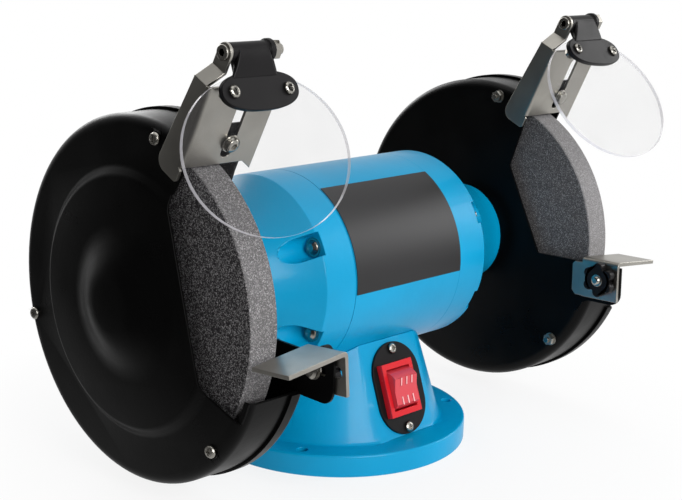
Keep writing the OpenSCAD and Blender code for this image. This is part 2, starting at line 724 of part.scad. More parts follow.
// Open sector of the wall: from the back of the bracket's plate down to the lower edge
module open_sector(low) polygon([from_bracket([-wall_back, 0]), from_bracket([-wall_back, far]),
    polar(far * 1.5, 60), polar(far * 1.5, 85), polar(far, low), [0, 0]]);
// Opening of an outer cover
module cover_opening() {
    v = polar(cover_cut_r, bracket_lean + 1.7);
    c = polar(cover_cut_r, open_to + cover_cut_low);
    polygon([v, from_bracket([-edge_back, plate_low - 9]), from_bracket([-edge_back, far]),
        polar(far * 1.5, 60), polar(far * 1.5, 85), polar(guard_r, open_to + relief_angle + 0.5) * 1.4,
        polar(guard_r, open_to + relief_angle + 0.5), c]);
}
// Opening of a motor-side housing
module housing_opening() {
    polygon([polar(housing_cut_r, 32.8), from_bracket([-edge_back, plate_low - 9]),
        from_bracket([-edge_back, far]), polar(far * 1.5, 60), [-far, lug_top], [-housing_cut_r, lug_top]]);
}
module lug_outline() polygon(concat([[-lug_root, lug_top], [-lug_front, lug_top]],
    arc([-lug_front + lug_round, lug_low + lug_round], lug_round, 180, 270, 6),
    [[-lug_foot, lug_low], [-lug_foot + 5, lug_low - 2], [-lug_foot + 8.5, lug_low - 8],
        [-lug_root, lug_low - 12]]));
module lug_slot() translate([-(lug_slot_near + lug_slot_far) / 2, rest_bolt_z])
    rotate(90) stadium(rest_slot, lug_slot_far - lug_slot_near);
module at_guard_screws() for (i = [0:2]) rotate([guard_screw_at + 120 * i, 0, 0])
    translate([0, 0, guard_screw_r]) children();
module bracket_tab() rotate([bracket_lean, 0, 0]) difference() {
    translate([slot_u - tab_w / 2, -tab_front, sqrt(guard_r * guard_r - tab_front * tab_front) - sheet])
        cube([tab_w, sheet, plate_low + tab_h - guard_r + sheet]);
    translate([slot_u, -far, plate_low + slot_bolt]) rotate([-90, 0, 0]) cylinder(h = 2 * far, r = 3.1);
}
module cup(domed) {
    difference() {
        union() {
            difference() {
                turned(cup_profile(domed));
                slab(domed ? sheet + skin : sheet, far) open_sector(open_to);
                slab(-far, domed ? corner_start : sheet + cut)
                    if (domed) cover_opening(); else housing_opening();
            }
            at_guard_screws() rod(4.6, 0, sheet);
            if (!domed) slab(0, sheet) lug_outline();
        }
        at_guard_screws() rod(m4_hole / 2, -far, far);
        if (!domed) {
            mount_holes(m5_hole / 2, -far, far);
            slab(-cut, sheet + cut) lug_slot();
        }
    }
    bracket_tab();
}
module mount_holes(r, x0, x1) for (a = [0:120:240]) rotate([a, 0, 0]) rod(r, x0, x1, 0, mount_screw_r);
module lid(domed) difference() {
    union() {
        difference() {
            turned(lid_profile(domed));
            slab(-far, guard_w - sheet) open_sector(domed ? open_to + relief_angle : open_to);
            slab(guard_w - sheet - cut, far) if (domed) cover_opening(); else housing_opening();
        }
        if (!domed) slab(guard_w - sheet, guard_w) lug_outline();
    }
    at_guard_screws() rod(m4_hole / 2, -far, far);
    if (!domed) {
        mount_holes(m5_hole / 2, -far, far);
        slab(guard_w - sheet - cut, guard_w + cut) lug_slot();
    }
}
module guard_cover_left() color(gloss_black) on_guard(-1) cup(true);
module guard_housing_left() color(gloss_black) on_guard(-1) lid(false);
module guard_housing_right() color(gloss_black) on_guard(1) cup(false);
module guard_cover_right() color(gloss_black) on_guard(1) lid(true);
module both_guards() for (side = [-1, 1]) from_motor(side) children();
module guard_screws() color(bright_zinc) both_guards() at_guard_screws() {
    rod(m4 / 2, -6, guard_w + 1);
    turned([[0, guard_w + thin_fit], [3.9, guard_w + thin_fit], [3.9, guard_w + 1.3], [3, guard_w + 2.4],
        [0, guard_w + 2.7]]);
}
module guard_nuts() color(bright_zinc) both_guards() at_guard_screws() difference() {
    union() {
        rod(4.5, -0.8, -thin_fit);
        hex_bar(7, -4, -0.7);
    }
    rod(m4 / 2 + thin_fit, -9, cut);
}
module guard_mount_screws() color(steel) both_guards() for (a = [0:120:240]) rotate([a, 0, 0]) {
    rod(m5 / 2, -12, sheet + 1, 0, mount_screw_r);
    rod(4.2, sheet + thin_fit, sheet + 2.6, 0, mount_screw_r);
}

// ---- Eye shields ----
module bracket() {
    y0 = -plate_off;
    z0 = plate_low;
    u0 = -bracket_out;
    difference() {
        union() {
            translate([0, 0, z0]) linear_extrude(bracket_h) polygon(concat(
                [[u0 + bracket_w, y0 + bracket_t], [u0 + bracket_w, y0]],
                arc([u0 + bend_out, y0 + bend_out], bend_out, 270, 180, 5),
                [[u0, y0 + bend_out + 0.5], [u0 + bracket_t, y0 + bend_out + 0.5]],
                arc([u0 + bend_out, y0 + bend_out], bend_out - bracket_t, 180, 270, 3)));
            translate([0, y0 + bracket_t, z0]) rotate([90, 0, 0]) linear_extrude(bracket_t)
                polygon([[u0 + bracket_w - tooth_w, 1], [u0 + bracket_w - tooth_w, 0],
                    [u0 + bracket_w, -tooth_h], [u0 + bracket_w, 1]]);
        }
        translate([slot_u, y0 - cut, z0]) {
            for (z = [slot_low + bracket_slot / 2, slot_top - bracket_slot / 2])
                translate([0, 0, z]) rotate([-90, 0, 0]) cylinder(h = bracket_t + 2 * cut, d = bracket_slot);
            translate([-bracket_slot / 2, 0, slot_low + bracket_slot / 2])
                cube([bracket_slot, bracket_t + 2 * cut, slot_top - slot_low - bracket_slot]);
        }
    }
    slab(u0, u0 + bracket_t) polygon(concat(
        [[y0 + bend_out, z0 + bracket_h], [y0 + bend_out, z0 + 1], [y0, z0 - 1.5]],
        arc([y0 + flange_tip, z0 - flange_drop + flange_tip], flange_tip, 180, 270, 4),
        arc([y0 + bracket_flange - flange_round, z0 - flange_drop + flange_round], flange_round, -90, 0, 6),
        [[y0 + flange_top, z0 + bracket_h]]));
    translate([0, pivot_y + arm_half, z0 + bracket_h]) rotate([90, 0, 0]) linear_extrude(2 * arm_half)
        polygon([[u0, -1], [u0, 0], [arm_u, arm_rise], [arm_u, arm_rise + 1],
            [arm_u + bracket_t, arm_rise + 1], [arm_u + bracket_t, arm_rise - 1],
            [u0 + bracket_t, -1], [u0 + bracket_t, -1.5]]);
    difference() {
        union() {
            translate([arm_u, pivot_y - arm_half, z0 + bracket_h + arm_rise])
                cube([bracket_t, 2 * arm_half, pivot_up - bracket_h - arm_rise]);
            rod(arm_half, arm_u, arm_u + bracket_t, pivot_y, pivot_z);
        }
        rod(pivot_d / 2 + bore_fit, -far, far, pivot_y, pivot_z);
    }
}
module shield_bracket_left() color(bright_zinc) on_bracket(-1) bracket();
module shield_bracket_right() color(bright_zinc) on_bracket(1) bracket();
module at_slot_bolt() for (side = [-1, 1]) on_bracket(side)
    translate([slot_u, -plate_off - slide_gap, plate_low + slot_bolt]) rotate([90, 0, 0]) children();
module bracket_bolts() color(bright_zinc) at_slot_bolt() {
    cylinder(h = 1, r = 5.6);
    translate([0, 0, 0.9]) cylinder(h = 2.2, r = 4.8);
    translate([0, 0, 3]) cylinder(h = 1.2, r1 = 4.8, r2 = 2.8);
    translate([0, 0, -bolt_to_tab - 9]) cylinder(h = bolt_to_tab + 10, r = 3);
}
bolt_to_tab = bracket_t + 2 * slide_gap + sheet;
module bracket_nuts() color(bright_zinc) at_slot_bolt() translate([0, 0, -bolt_to_tab - thin_fit])
    difference() {
        union() {
            translate([0, 0, -1.2]) cylinder(h = 1.2, r = 6);
            translate([0, 0, -6]) cylinder(h = 5, d = 10 / cos(30), $fn = 6);
        }
        translate([0, 0, -10]) cylinder(h = 12, r = 3 + thin_fit);
    }
module on_pivot(side) on_bracket(side) translate([0, pivot_y, pivot_z]) children();
barrel_end = barrel_u + barrel_w;
pivot_head_r = 4.4;
module pivot_bolt(side) color(bright_zinc) on_pivot(side) {
    difference() {
        turned([[0, arm_u - 1.9], [pivot_head_r - 0.5, arm_u - 1.9], [pivot_head_r, arm_u - 1.4],
            [pivot_head_r, arm_u - thin_fit], [0, arm_u - thin_fit]]);
        hex_bar(4, arm_u - 3, arm_u - 0.9);
    }
    rod(pivot_d / 2, arm_u - 0.8, barrel_end + 8);
    difference() {
        hex_bar(10, barrel_end + slide_gap, barrel_end + slide_gap + 4.6);
        rod(pivot_d / 2 + thin_fit, barrel_end, barrel_end + 9);
    }
}
module pivot_bolt_left() pivot_bolt(-1);
module pivot_bolt_right() pivot_bolt(1);
// Sketch in the plane of the shield, x along the shaft, pulled from y0 to y1
module shield_slab(y0, y1) translate([0, y1, 0]) rotate([90, 0, 0]) linear_extrude(y1 - y0) children();
function bent(v) = sign(v) * pow(abs(v), 2 / holder_power);
module lens_holes() for (s = [-1, 1]) translate([s * lens_screw_x, 0]) circle(d = lens_screw_d + 0.3);
module shield_holder(side) color(plastic_black) {
    on_shield(side) difference() {
        union() {
            rod(barrel_d / 2, -barrel_w / 2, barrel_w / 2);
            rod(collar_d / 2, barrel_w / 2 - collar_w, barrel_w / 2);
            shield_slab(lens_y - plate_t + 0.3, lens_y - 0.3) translate([1 - holder_neck / 2, -holder_mid])
                square([holder_neck, holder_mid - 2]);
        }
        rod(pivot_d / 2 + bore_fit, -far, far);
    }
    on_plate(side) shield_slab(lens_y - plate_t, lens_y - thin_fit) difference() {
        polygon([for (a = [0:5:355]) [holder_w / 2 * bent(cos(a)), holder_h / 2 * bent(sin(a))]]);
        lens_holes();
    }
}
module shield_holder_left() shield_holder(-1);
module shield_holder_right() shield_holder(1);
module lens(side) color(clear) on_plate(side) shield_slab(lens_y, lens_y + lens_t) difference() {
    translate([0, holder_mid - lens_drop])
        polygon([for (a = [0:5:355]) [lens_w / 2 * cos(a), lens_h / 2 * sin(a)]]);
    lens_holes();
}
module shield_lens_left() lens(-1);
module shield_lens_right() lens(1);
module lens_screws(side) color(bright_zinc) on_plate(side) for (s = [-1, 1])
    translate([s * lens_screw_x, lens_y - plate_t, 0]) rotate([90, 0, 0]) {
        translate([0, 0, thin_fit]) cylinder(h = 1, r = 3.8);
        translate([0, 0, 1]) cylinder(h = 1, r1 = 3.8, r2 = 2.2);
        translate([0, 0, -plate_t - lens_t - 2.9]) cylinder(h = plate_t + lens_t + 3.5, r = lens_screw_d / 2);
        translate([0, 0, -plate_t - lens_t - 2.4]) difference() {
            cylinder(h = 2.3, d = 7 / cos(30), $fn = 6);
            translate([0, 0, -cut]) cylinder(h = 6, r = lens_screw_d / 2 + thin_fit);
        }
    }
module lens_screws_left() lens_screws(-1);
module lens_screws_right() lens_screws(1);

// ---- Tool rests ----
// A rest is sketched across the shaft and pulled back to front, then leant about its bolt
module rest(near, bolt_at, high, lean) translate([0, -near - bolt_at, rest_bolt_z]) rotate([-lean, 0, 0])
    translate([0, near + bolt_at, -rest_bolt_z]) difference() {
        droop = [cos(rest_droop), -sin(rest_droop)];
        under = [-sin(rest_droop), -cos(rest_droop)];
        tip = [rest_w0, rest_z] + rest_w * droop;
        low = rest_z - high;
        union() {
            translate([0, -near, 0]) rotate([90, 0, 0]) linear_extrude(rest_d) polygon(concat(
                [[rest_w0, low]],
                arc([rest_w0 + rest_bend, rest_z - rest_bend - 0.2], rest_bend, 180, 90 - rest_droop, 6),
                [tip, tip + rest_t * under, [rest_w0 + rest_t + 0.6, rest_z - rest_t - 0.5],
                    [rest_w0 + rest_t, rest_z - rest_t - 1.4], [rest_w0 + rest_t, low]]));
            slab(rest_w0, rest_w0 + rest_t) polygon([[-near - 1, low + 0.3],
                [-near + flange_back - 3, low + 0.3], [-near + flange_back, low + 3.3],
                [-near + flange_back, rest_z - 2 * rest_bend],
                [-near + flange_back - 2, rest_z - rest_bend - 1], [-near - 1, rest_z - rest_bend - 1]]);
        }
        slab(rest_w0 - cut, rest_w0 + rest_t + cut) translate([-near - rest_d / 2, rest_bolt_z])
            rotate(90) stadium(rest_slot, rest_d - 2 * rest_slot_edge);
    }
module rest_bolt(y) translate([0, -y, rest_bolt_z]) {
    rod(rest_bolt_d / 2, rest_w0 - slide_gap - knob_t + 2, sheet + 4);
    rod(6, sheet + slide_gap, sheet + slide_gap + 1.1);
    turned([[0, sheet + 1.3], [5.2, sheet + 1.3], [5.2, sheet + 3.4], [3.6, sheet + 4.6], [0, sheet + 5]]);
}
knob_lobes = 6;
knob_lobe = 3.6;
module knob(y) translate([rest_w0 - slide_gap, -y, rest_bolt_z]) difference() {
    union() {
        rod(knob_r - knob_lobe + 0.1, -knob_t, 0);
        for (i = [0:knob_lobes - 1]) rotate([i * 360 / knob_lobes, 0, 0])
            rod(knob_lobe, -knob_t, -1, 0, knob_r - knob_lobe);
    }
    rod(rest_bolt_d / 2 + bore_fit, -knob_t + 1.5, cut);
}
module tool_rest_left() color(bright_zinc) from_motor(-1)
    rest(left_rest_y, left_bolt_at, left_flange, left_rest_tilt);
module tool_rest_right() color(bright_zinc) from_motor(1) rest(right_rest_y, right_bolt_at, right_flange, 0);
module rest_bolt_left() color(steel) from_motor(-1) rest_bolt(left_rest_y + left_bolt_at);
module rest_bolt_right() color(steel) from_motor(1) rest_bolt(right_rest_y + right_bolt_at);
module rest_knob_left() color(plastic_black) from_motor(-1) knob(left_rest_y + left_bolt_at);
module rest_knob_right() color(plastic_black) from_motor(1) knob(right_rest_y + right_bolt_at);

base_casting();
bottom_plate();
bottom_plate_screws();
saddle_screws();
cable_grommet();
terminal_block();
start_capacitor();
capacitor_clamp();
switch_plate();
switch_screws();
switch_body();
switch_rocker();
stator_shell();
stator_core();
stator_winding();
end_bell_left();
end_bell_right();
through_bolts();
through_bolt_nuts();
rating_plate();
rotor_shaft();
rotor_core();
bearing_outer_rings();
bearing_inner_rings();
bearing_balls();
bearing_cages();
preload_washer();
wheel_left();
wheel_right();
inner_flanges();
outer_flanges();
wheel_blotters();
shaft_nuts();
guard_housing_left();
guard_cover_left();
guard_housing_right();
guard_cover_right();
guard_screws();
guard_nuts();
guard_mount_screws();
shield_bracket_left();
shield_bracket_right();
bracket_bolts();
bracket_nuts();
pivot_bolt_left();
pivot_bolt_right();
shield_holder_left();
shield_holder_right();
shield_lens_left();
shield_lens_right();
lens_screws_left();
lens_screws_right();
tool_rest_left();
tool_rest_right();
rest_bolt_left();
rest_bolt_right();
rest_knob_left();
rest_knob_right();
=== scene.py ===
"""Bench grinder: paint, metal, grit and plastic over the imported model, with its stage and camera."""

import json
import math

import bmesh
import bpy
from bpy.props import FloatProperty, FloatVectorProperty, PointerProperty
from mathutils import Matrix, Vector

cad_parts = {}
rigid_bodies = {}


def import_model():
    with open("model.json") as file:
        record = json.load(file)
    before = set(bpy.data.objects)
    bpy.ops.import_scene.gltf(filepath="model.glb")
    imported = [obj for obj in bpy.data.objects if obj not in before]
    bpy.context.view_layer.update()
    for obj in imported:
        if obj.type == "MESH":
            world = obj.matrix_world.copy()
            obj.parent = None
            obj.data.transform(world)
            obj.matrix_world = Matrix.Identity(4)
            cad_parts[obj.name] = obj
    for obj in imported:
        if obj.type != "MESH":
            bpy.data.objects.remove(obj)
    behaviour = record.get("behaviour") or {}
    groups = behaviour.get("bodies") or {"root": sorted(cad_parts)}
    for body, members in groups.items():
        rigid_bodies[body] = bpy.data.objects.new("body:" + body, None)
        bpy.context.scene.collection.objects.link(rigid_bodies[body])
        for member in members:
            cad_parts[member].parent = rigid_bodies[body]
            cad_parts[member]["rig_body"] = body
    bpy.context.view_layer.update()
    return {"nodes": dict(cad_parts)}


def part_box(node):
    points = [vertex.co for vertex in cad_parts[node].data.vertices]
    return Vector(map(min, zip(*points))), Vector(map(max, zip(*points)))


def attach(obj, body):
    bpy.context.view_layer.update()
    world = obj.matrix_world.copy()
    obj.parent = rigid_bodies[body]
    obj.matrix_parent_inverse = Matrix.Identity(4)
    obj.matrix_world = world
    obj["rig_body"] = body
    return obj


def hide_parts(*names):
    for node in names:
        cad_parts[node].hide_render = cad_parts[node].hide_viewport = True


bl_info = {
    "name": "Bench Grinder",
    "version": (1, 0, 0),
    "blender": (4, 5, 0),
    "location": "View3D > Sidebar > Grinder",
    "description": "Dresses a double-ended bench grinder in its paints, metals, grit and plastics",
    "category": "Object",
}

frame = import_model()
NODES = frame["nodes"]

MM = 0.001
SIDES = ("left", "right")

# Corners nearer than this are one corner, and faces that turn by less than this angle are one face
WELD = 0.002 * MM
FLAT_ANGLE = math.radians(0.8)
# Height of the shaft's axis over the bench, as the solids have it
SHAFT_HEIGHT = 121.6 * MM
# The wheels are dressed outside this radius, and the change of tone takes this width
DRESSED_RADIUS, DRESSED_EDGE = 99.6 * MM, 0.7 * MM
# Width of a cross recess's slots, as a share of the whole recess
CROSS_SLOT = 0.27
# Steps that find a screw's axis, which is the way that its corners spread furthest
AXIS_STEPS = 40


def linear(code):
    """A '#rrggbb' sRGB colour as linear red, green and blue."""
    parts = [int(code[i : i + 2], 16) / 255 for i in (1, 3, 5)]
    return tuple(p / 12.92 if p <= 0.04045 else ((p + 0.055) / 1.055) ** 2.4 for p in parts)


def rgba(colour):
    """A hex code or a property's colour as the four numbers that a socket takes."""
    return (*(linear(colour) if isinstance(colour, str) else colour), 1.0)


def per_mm(size):
    """Texture scale, in features per metre, of a pattern whose features are size millimetres apart."""
    return 1000.0 / size


# ---- Settings ----


class PaintSettings(bpy.types.PropertyGroup):
    """Colours and surface sizes of the paints."""

    casting: FloatVectorProperty(
        name="Casting enamel", description="Gloss enamel on the base and the motor",
        subtype="COLOR", size=3, min=0, max=1, default=linear("#0095c4"))
    guard: FloatVectorProperty(
        name="Guard enamel", description="Stoved enamel on the pressed guards",
        subtype="COLOR", size=3, min=0, max=1, default=linear("#060606"))
    plate: FloatVectorProperty(
        name="Rating plate", description="Printed face of the bare rating plate",
        subtype="COLOR", size=3, min=0, max=1, default=linear("#131214"))
    orange_peel: FloatProperty(
        name="Orange peel", description="Spacing of the ripples in sprayed enamel",
        unit="LENGTH", precision=5, min=0.5 * MM, max=10 * MM, default=3.5 * MM)


class WheelSettings(bpy.types.PropertyGroup):
    """Grit of the grinding wheels."""

    bond: FloatVectorProperty(
        name="Bond", description="Dark ground between the grains",
        subtype="COLOR", size=3, min=0, max=1, default=linear("#232123"))
    grain: FloatVectorProperty(
        name="Grain", description="Pale grains of brown and grey corundum",
        subtype="COLOR", size=3, min=0, max=1, default=linear("#b9b7b8"))
    coarse: FloatProperty(
        name="Coarse grit", description="Grain spacing of the coarse wheel",
        unit="LENGTH", precision=5, min=0.3 * MM, max=3 * MM, default=0.55 * MM)
    fine: FloatProperty(
        name="Fine grit", description="Grain spacing of the fine wheel",
        unit="LENGTH", precision=5, min=0.3 * MM, max=3 * MM, default=0.5 * MM)


class MetalSettings(bpy.types.PropertyGroup):
    """Bare and plated metals."""

    zinc: FloatVectorProperty(
        name="Bright zinc", description="Bright zinc plate on the brackets, rests and screws",
        subtype="COLOR", size=3, min=0, max=1, default=linear("#a5a29b"))
    steel: FloatVectorProperty(
        name="Turned steel", description="Bare turned steel of the shaft and its flanges",
        subtype="COLOR", size=3, min=0, max=1, default=linear("#a9abad"))


class PlasticSettings(bpy.types.PropertyGroup):
    """Moulded plastics."""

    black: FloatVectorProperty(
        name="Black plastic", description="Shield holders, knobs and the switch plate",
        subtype="COLOR", size=3, min=0, max=1, default=linear("#161516"))
    red: FloatVectorProperty(
        name="Red plastic", description="Switch frame and rocker",
        subtype="COLOR", size=3, min=0, max=1, default=linear("#cc1f28"))
    clear: FloatVectorProperty(
        name="Clear sheet", description="Polycarbonate of the eye shields",
        subtype="COLOR", size=3, min=0, max=1, default=linear("#eeecf2"))


class StudioSettings(bpy.types.PropertyGroup):
    """Floor, lamps and camera."""

    key: FloatProperty(
        name="Key lamp", description="Power of the lamp in front", unit="POWER", min=0, default=34)
    fill: FloatProperty(
        name="Fill lamp", description="Power of the lamp on the right", unit="POWER", min=0, default=11)
    top: FloatProperty(
        name="Top lamp", description="Power of the overhead lamp", unit="POWER", min=0, default=3)
    back: FloatProperty(
        name="Back lamp", description="Power of the lamp behind", unit="POWER", min=0, default=15)
    sky: FloatProperty(
        name="Room light", description="Strength of the light from all round", min=0, default=0.36)
    floor: FloatVectorProperty(
        name="Floor", description="Colour of the plain floor",
        subtype="COLOR", size=3, min=0, max=1, default=linear("#f4f4f4"))


# ---- Materials ----


def feed(tree, node, inputs):
    """Sets a node's inputs: each is a value, an output to link, or a node whose first output is linked."""
    for key, value in inputs.items():
        if isinstance(key, str):
            key = next(i for i, socket in enumerate(node.inputs) if socket.name == key and socket.enabled)
        if isinstance(value, bpy.types.Node):
            value = next(socket for socket in value.outputs if socket.enabled)
        if isinstance(value, bpy.types.NodeSocket):
            tree.links.new(value, node.inputs[key])
        else:
            node.inputs[key].default_value = value


def add(tree, kind, inputs=None, **settings):
    """Adds a node with its settings and its inputs."""
    made = tree.nodes.new(kind)
    for name, value in settings.items():
        setattr(made, name, value)
    feed(tree, made, inputs or {})
    return made


def finish(name, colour, **shader_inputs):
    """Starts a material: its tree, its shader and the object's own coordinates."""
    material = bpy.data.materials.new(name)
    material.use_nodes = True
    tree = material.node_tree
    shader = tree.nodes["Principled BSDF"]
    inputs = {key.replace("_", " "): value for key, value in shader_inputs.items()}
    feed(tree, shader, {"Base Color": rgba(colour), **inputs})
    return material, tree, shader, add(tree, "ShaderNodeTexCoord").outputs["Object"]


def shade_of(colour, factor):
    """The same colour, lighter or darker."""
    return tuple(min(1.0, c * factor) for c in colour)


def gloss_enamel():
    """Alkyd gloss enamel, sprayed on castings: a deep colour under a clear, softly rippled skin."""
    paint = bpy.context.scene.grinder_paint
    cast_mm, cloud_mm, relief_mm = 38, 60, 0.06
    material, tree, shader, place = finish(
        "Gloss enamel, sprayed", paint.casting, Roughness=0.36, IOR=1.5, Specular_IOR_Level=0.16,
        Coat_Weight=0.12, Coat_Roughness=0.12)
    ripple = add(tree, "ShaderNodeTexNoise", {
        "Vector": place, "Scale": per_mm(paint.orange_peel / MM), "Detail": 1.5, "Roughness": 0.45})
    cast = add(tree, "ShaderNodeTexNoise", {"Vector": place, "Scale": per_mm(cast_mm), "Detail": 2.0})
    skin = add(tree, "ShaderNodeMath", {0: ripple, 1: cast}, operation="ADD")
    cloud = add(tree, "ShaderNodeTexNoise", {"Vector": place, "Scale": per_mm(cloud_mm), "Detail": 3.0})
    amount = add(tree, "ShaderNodeMapRange", {"Value": cloud, "From Min": 0.35, "From Max": 0.65})
    low, high = rgba(shade_of(paint.casting, 0.94)), rgba(shade_of(paint.casting, 1.05))
    feed(tree, shader, {
        "Base Color": add(tree, "ShaderNodeMix", {"Factor": amount, "A": low, "B": high}, data_type="RGBA"),
        "Normal": add(tree, "ShaderNodeBump", {"Height": skin, "Distance": relief_mm * MM})})
    return material


def stoved_enamel():
    """Stoved black enamel on pressed sheet: nearly black, with soft wide highlights and faint ripples."""
    paint = bpy.context.scene.grinder_paint
    sag_mm, wear_mm, relief_mm = 32, 25, 0.035
    # Sheet shows finer ripples than a casting does
    ripple_mm = paint.orange_peel / MM * 0.7
    material, tree, shader, place = finish(
        "Stoved enamel, black", paint.guard, Roughness=0.32, IOR=1.5, Specular_IOR_Level=0.08)
    ripple = add(tree, "ShaderNodeTexNoise", {"Vector": place, "Scale": per_mm(ripple_mm), "Detail": 2.0})
    sag = add(tree, "ShaderNodeTexNoise", {"Vector": place, "Scale": per_mm(sag_mm), "Detail": 1.0})
    # The press leaves the sheet's sag several times as deep as the paint's ripples
    skin = add(tree, "ShaderNodeMath", {0: sag, 1: 6.0, 2: ripple}, operation="MULTIPLY_ADD")
    wear = add(tree, "ShaderNodeTexNoise", {"Vector": place, "Scale": per_mm(wear_mm), "Detail": 4.0})
    feed(tree, shader, {
        "Roughness": add(tree, "ShaderNodeMapRange", {
            "Value": wear, "From Min": 0.3, "From Max": 0.7, "To Min": 0.26, "To Max": 0.4}),
        "Normal": add(tree, "ShaderNodeBump", {"Height": skin, "Distance": relief_mm * MM})})
    return material


def bright_zinc(name, streak_mm, rough):
    """Bright zinc plate on cold-rolled steel: a satin grey metal with faint rolling streaks and clouds."""
    metal = bpy.context.scene.grinder_metal
    cloud_mm, relief_mm = 22, 0.002
    material, tree, shader, place = finish(name, metal.zinc, Metallic=1.0, Roughness=rough)
    # The rolling marks are some hundredths wide; they are drawn coarser so that they show
    drawn = add(tree, "ShaderNodeMapping", {"Vector": place, "Scale": (1.0, 1.0, 0.05)})
    streaks = add(tree, "ShaderNodeTexNoise", {"Vector": drawn, "Scale": per_mm(streak_mm), "Detail": 2.0})
    cloud = add(tree, "ShaderNodeTexNoise", {"Vector": place, "Scale": per_mm(cloud_mm), "Detail": 2.0})
    amount = add(tree, "ShaderNodeMapRange", {"Value": cloud, "From Min": 0.35, "From Max": 0.65})
    low, high = rgba(shade_of(metal.zinc, 0.9)), rgba(shade_of(metal.zinc, 1.06))
    feed(tree, shader, {
        "Base Color": add(tree, "ShaderNodeMix", {"Factor": amount, "A": low, "B": high}, data_type="RGBA"),
        "Roughness": add(tree, "ShaderNodeMapRange", {
            "Value": streaks, "From Min": 0.3, "From Max": 0.7,
            "To Min": rough - 0.02, "To Max": rough + 0.03}),
        "Normal": add(tree, "ShaderNodeBump", {"Height": streaks, "Distance": relief_mm * MM})})
    return material


def ringed_metal(name, colour, rough, pitch_mm, relief_mm=0.01):
    """Bare metal off the lathe or in stacked sheets: fine rings round the shaft, seen as a soft sheen."""
    material, tree, shader, place = finish(name, colour, Metallic=1.0, Roughness=rough)
    along = add(tree, "ShaderNodeSeparateXYZ", {"Vector": place}).outputs["X"]
    turns = add(tree, "ShaderNodeMath", {0: along, 1: per_mm(pitch_mm) * math.tau}, operation="MULTIPLY")
    rings = add(tree, "ShaderNodeMath", {0: turns}, operation="SINE")
    feed(tree, shader, {
        "Normal": add(tree, "ShaderNodeBump", {"Height": rings, "Distance": relief_mm * MM})})
    return material


def vitrified_grit(name, spacing_mm, bright, moulded, dressed):
    """Corundum grains in a vitrified bond: fine pale grains and dark pores on a grey ground."""
    wheel = bpy.context.scene.grinder_wheel
    relief_mm = 0.25
    material, tree, shader, place = finish(name, wheel.bond, Roughness=0.9, Specular_IOR_Level=0.2)
    grains = add(tree, "ShaderNodeTexVoronoi", {"Vector": place, "Scale": per_mm(spacing_mm)})
    clumps = add(tree, "ShaderNodeTexNoise", {
        "Vector": place, "Scale": per_mm(spacing_mm * 1.2), "Detail": 3.0, "Roughness": 0.6})
    mottled = add(tree, "ShaderNodeMapRange", {
        "Value": clumps, "From Min": 0.3, "From Max": 0.7, "To Min": 0.4, "To Max": 1.4})
    # Few grains show a bright facet; the rest are near the ground's own grey
    tone = add(tree, "ShaderNodeSeparateColor", {"Color": grains.outputs["Color"]})
    sparse = add(tree, "ShaderNodeMath", {0: tone.outputs["Red"], 1: 3.0}, operation="POWER")
    speck = add(tree, "ShaderNodeMath", {0: sparse, 1: mottled}, operation="MULTIPLY")
    # The periphery is dressed, so its cut grains look paler than the moulded faces
    centred = add(tree, "ShaderNodeMapping", {"Vector": place, "Location": (0, 0, -SHAFT_HEIGHT)})
    split = add(tree, "ShaderNodeSeparateXYZ", {"Vector": centred})
    spoke = add(tree, "ShaderNodeCombineXYZ", {"X": split.outputs["Y"], "Y": split.outputs["Z"]})
    radius = add(tree, "ShaderNodeVectorMath", {0: spoke}, operation="LENGTH").outputs["Value"]
    ground = add(tree, "ShaderNodeMapRange", {
        "Value": radius, "From Min": DRESSED_RADIUS - DRESSED_EDGE, "From Max": DRESSED_RADIUS,
        "To Min": moulded, "To Max": dressed})
    amount = add(tree, "ShaderNodeMath", {
        0: speck, 1: bright, 2: ground}, operation="MULTIPLY_ADD", use_clamp=True)
    low, high = rgba(wheel.bond), rgba(wheel.grain)
    feed(tree, shader, {
        "Base Color": add(tree, "ShaderNodeMix", {"Factor": amount, "A": low, "B": high}, data_type="RGBA"),
        "Normal": add(tree, "ShaderNodeBump", {
            "Height": grains.outputs["Distance"], "Distance": relief_mm * MM})})
    return material


def moulded_plastic(name, colour, rough, grain_mm=0.8, gloss=0.3):
    """Injection-moulded plastic off a lightly sparked tool: even colour with a fine satin grain."""
    flow_mm, relief_mm = 18, 0.02
    material, tree, shader, place = finish(name, colour, Roughness=rough, IOR=1.5, Specular_IOR_Level=gloss)
    grain = add(tree, "ShaderNodeTexNoise", {"Vector": place, "Scale": per_mm(grain_mm), "Detail": 2.0})
    flow = add(tree, "ShaderNodeTexNoise", {"Vector": place, "Scale": per_mm(flow_mm), "Detail": 2.0})
    feed(tree, shader, {
        "Roughness": add(tree, "ShaderNodeMapRange", {
            "Value": flow, "From Min": 0.3, "From Max": 0.7, "To Min": rough - 0.05, "To Max": rough + 0.07}),
        "Normal": add(tree, "ShaderNodeBump", {"Height": grain, "Distance": relief_mm * MM})})
    return material


def clear_sheet(name, colour, veil):
    """Polycarbonate sheet: clear under a faint grey veil on its faces, and milky where it is cut."""
    haze_mm = 30
    material, tree, shader, place = finish(
        name, colour, Roughness=0.06, IOR=1.3, Specular_IOR_Level=0.3, Alpha=veil)
    haze = add(tree, "ShaderNodeTexNoise", {"Vector": place, "Scale": per_mm(haze_mm), "Detail": 2.0})
    feed(tree, shader, {"Alpha": add(tree, "ShaderNodeMapRange", {
        "Value": haze, "From Min": 0.3, "From Max": 0.7, "To Min": veil * 0.85, "To Max": veil * 1.15})})
    return material


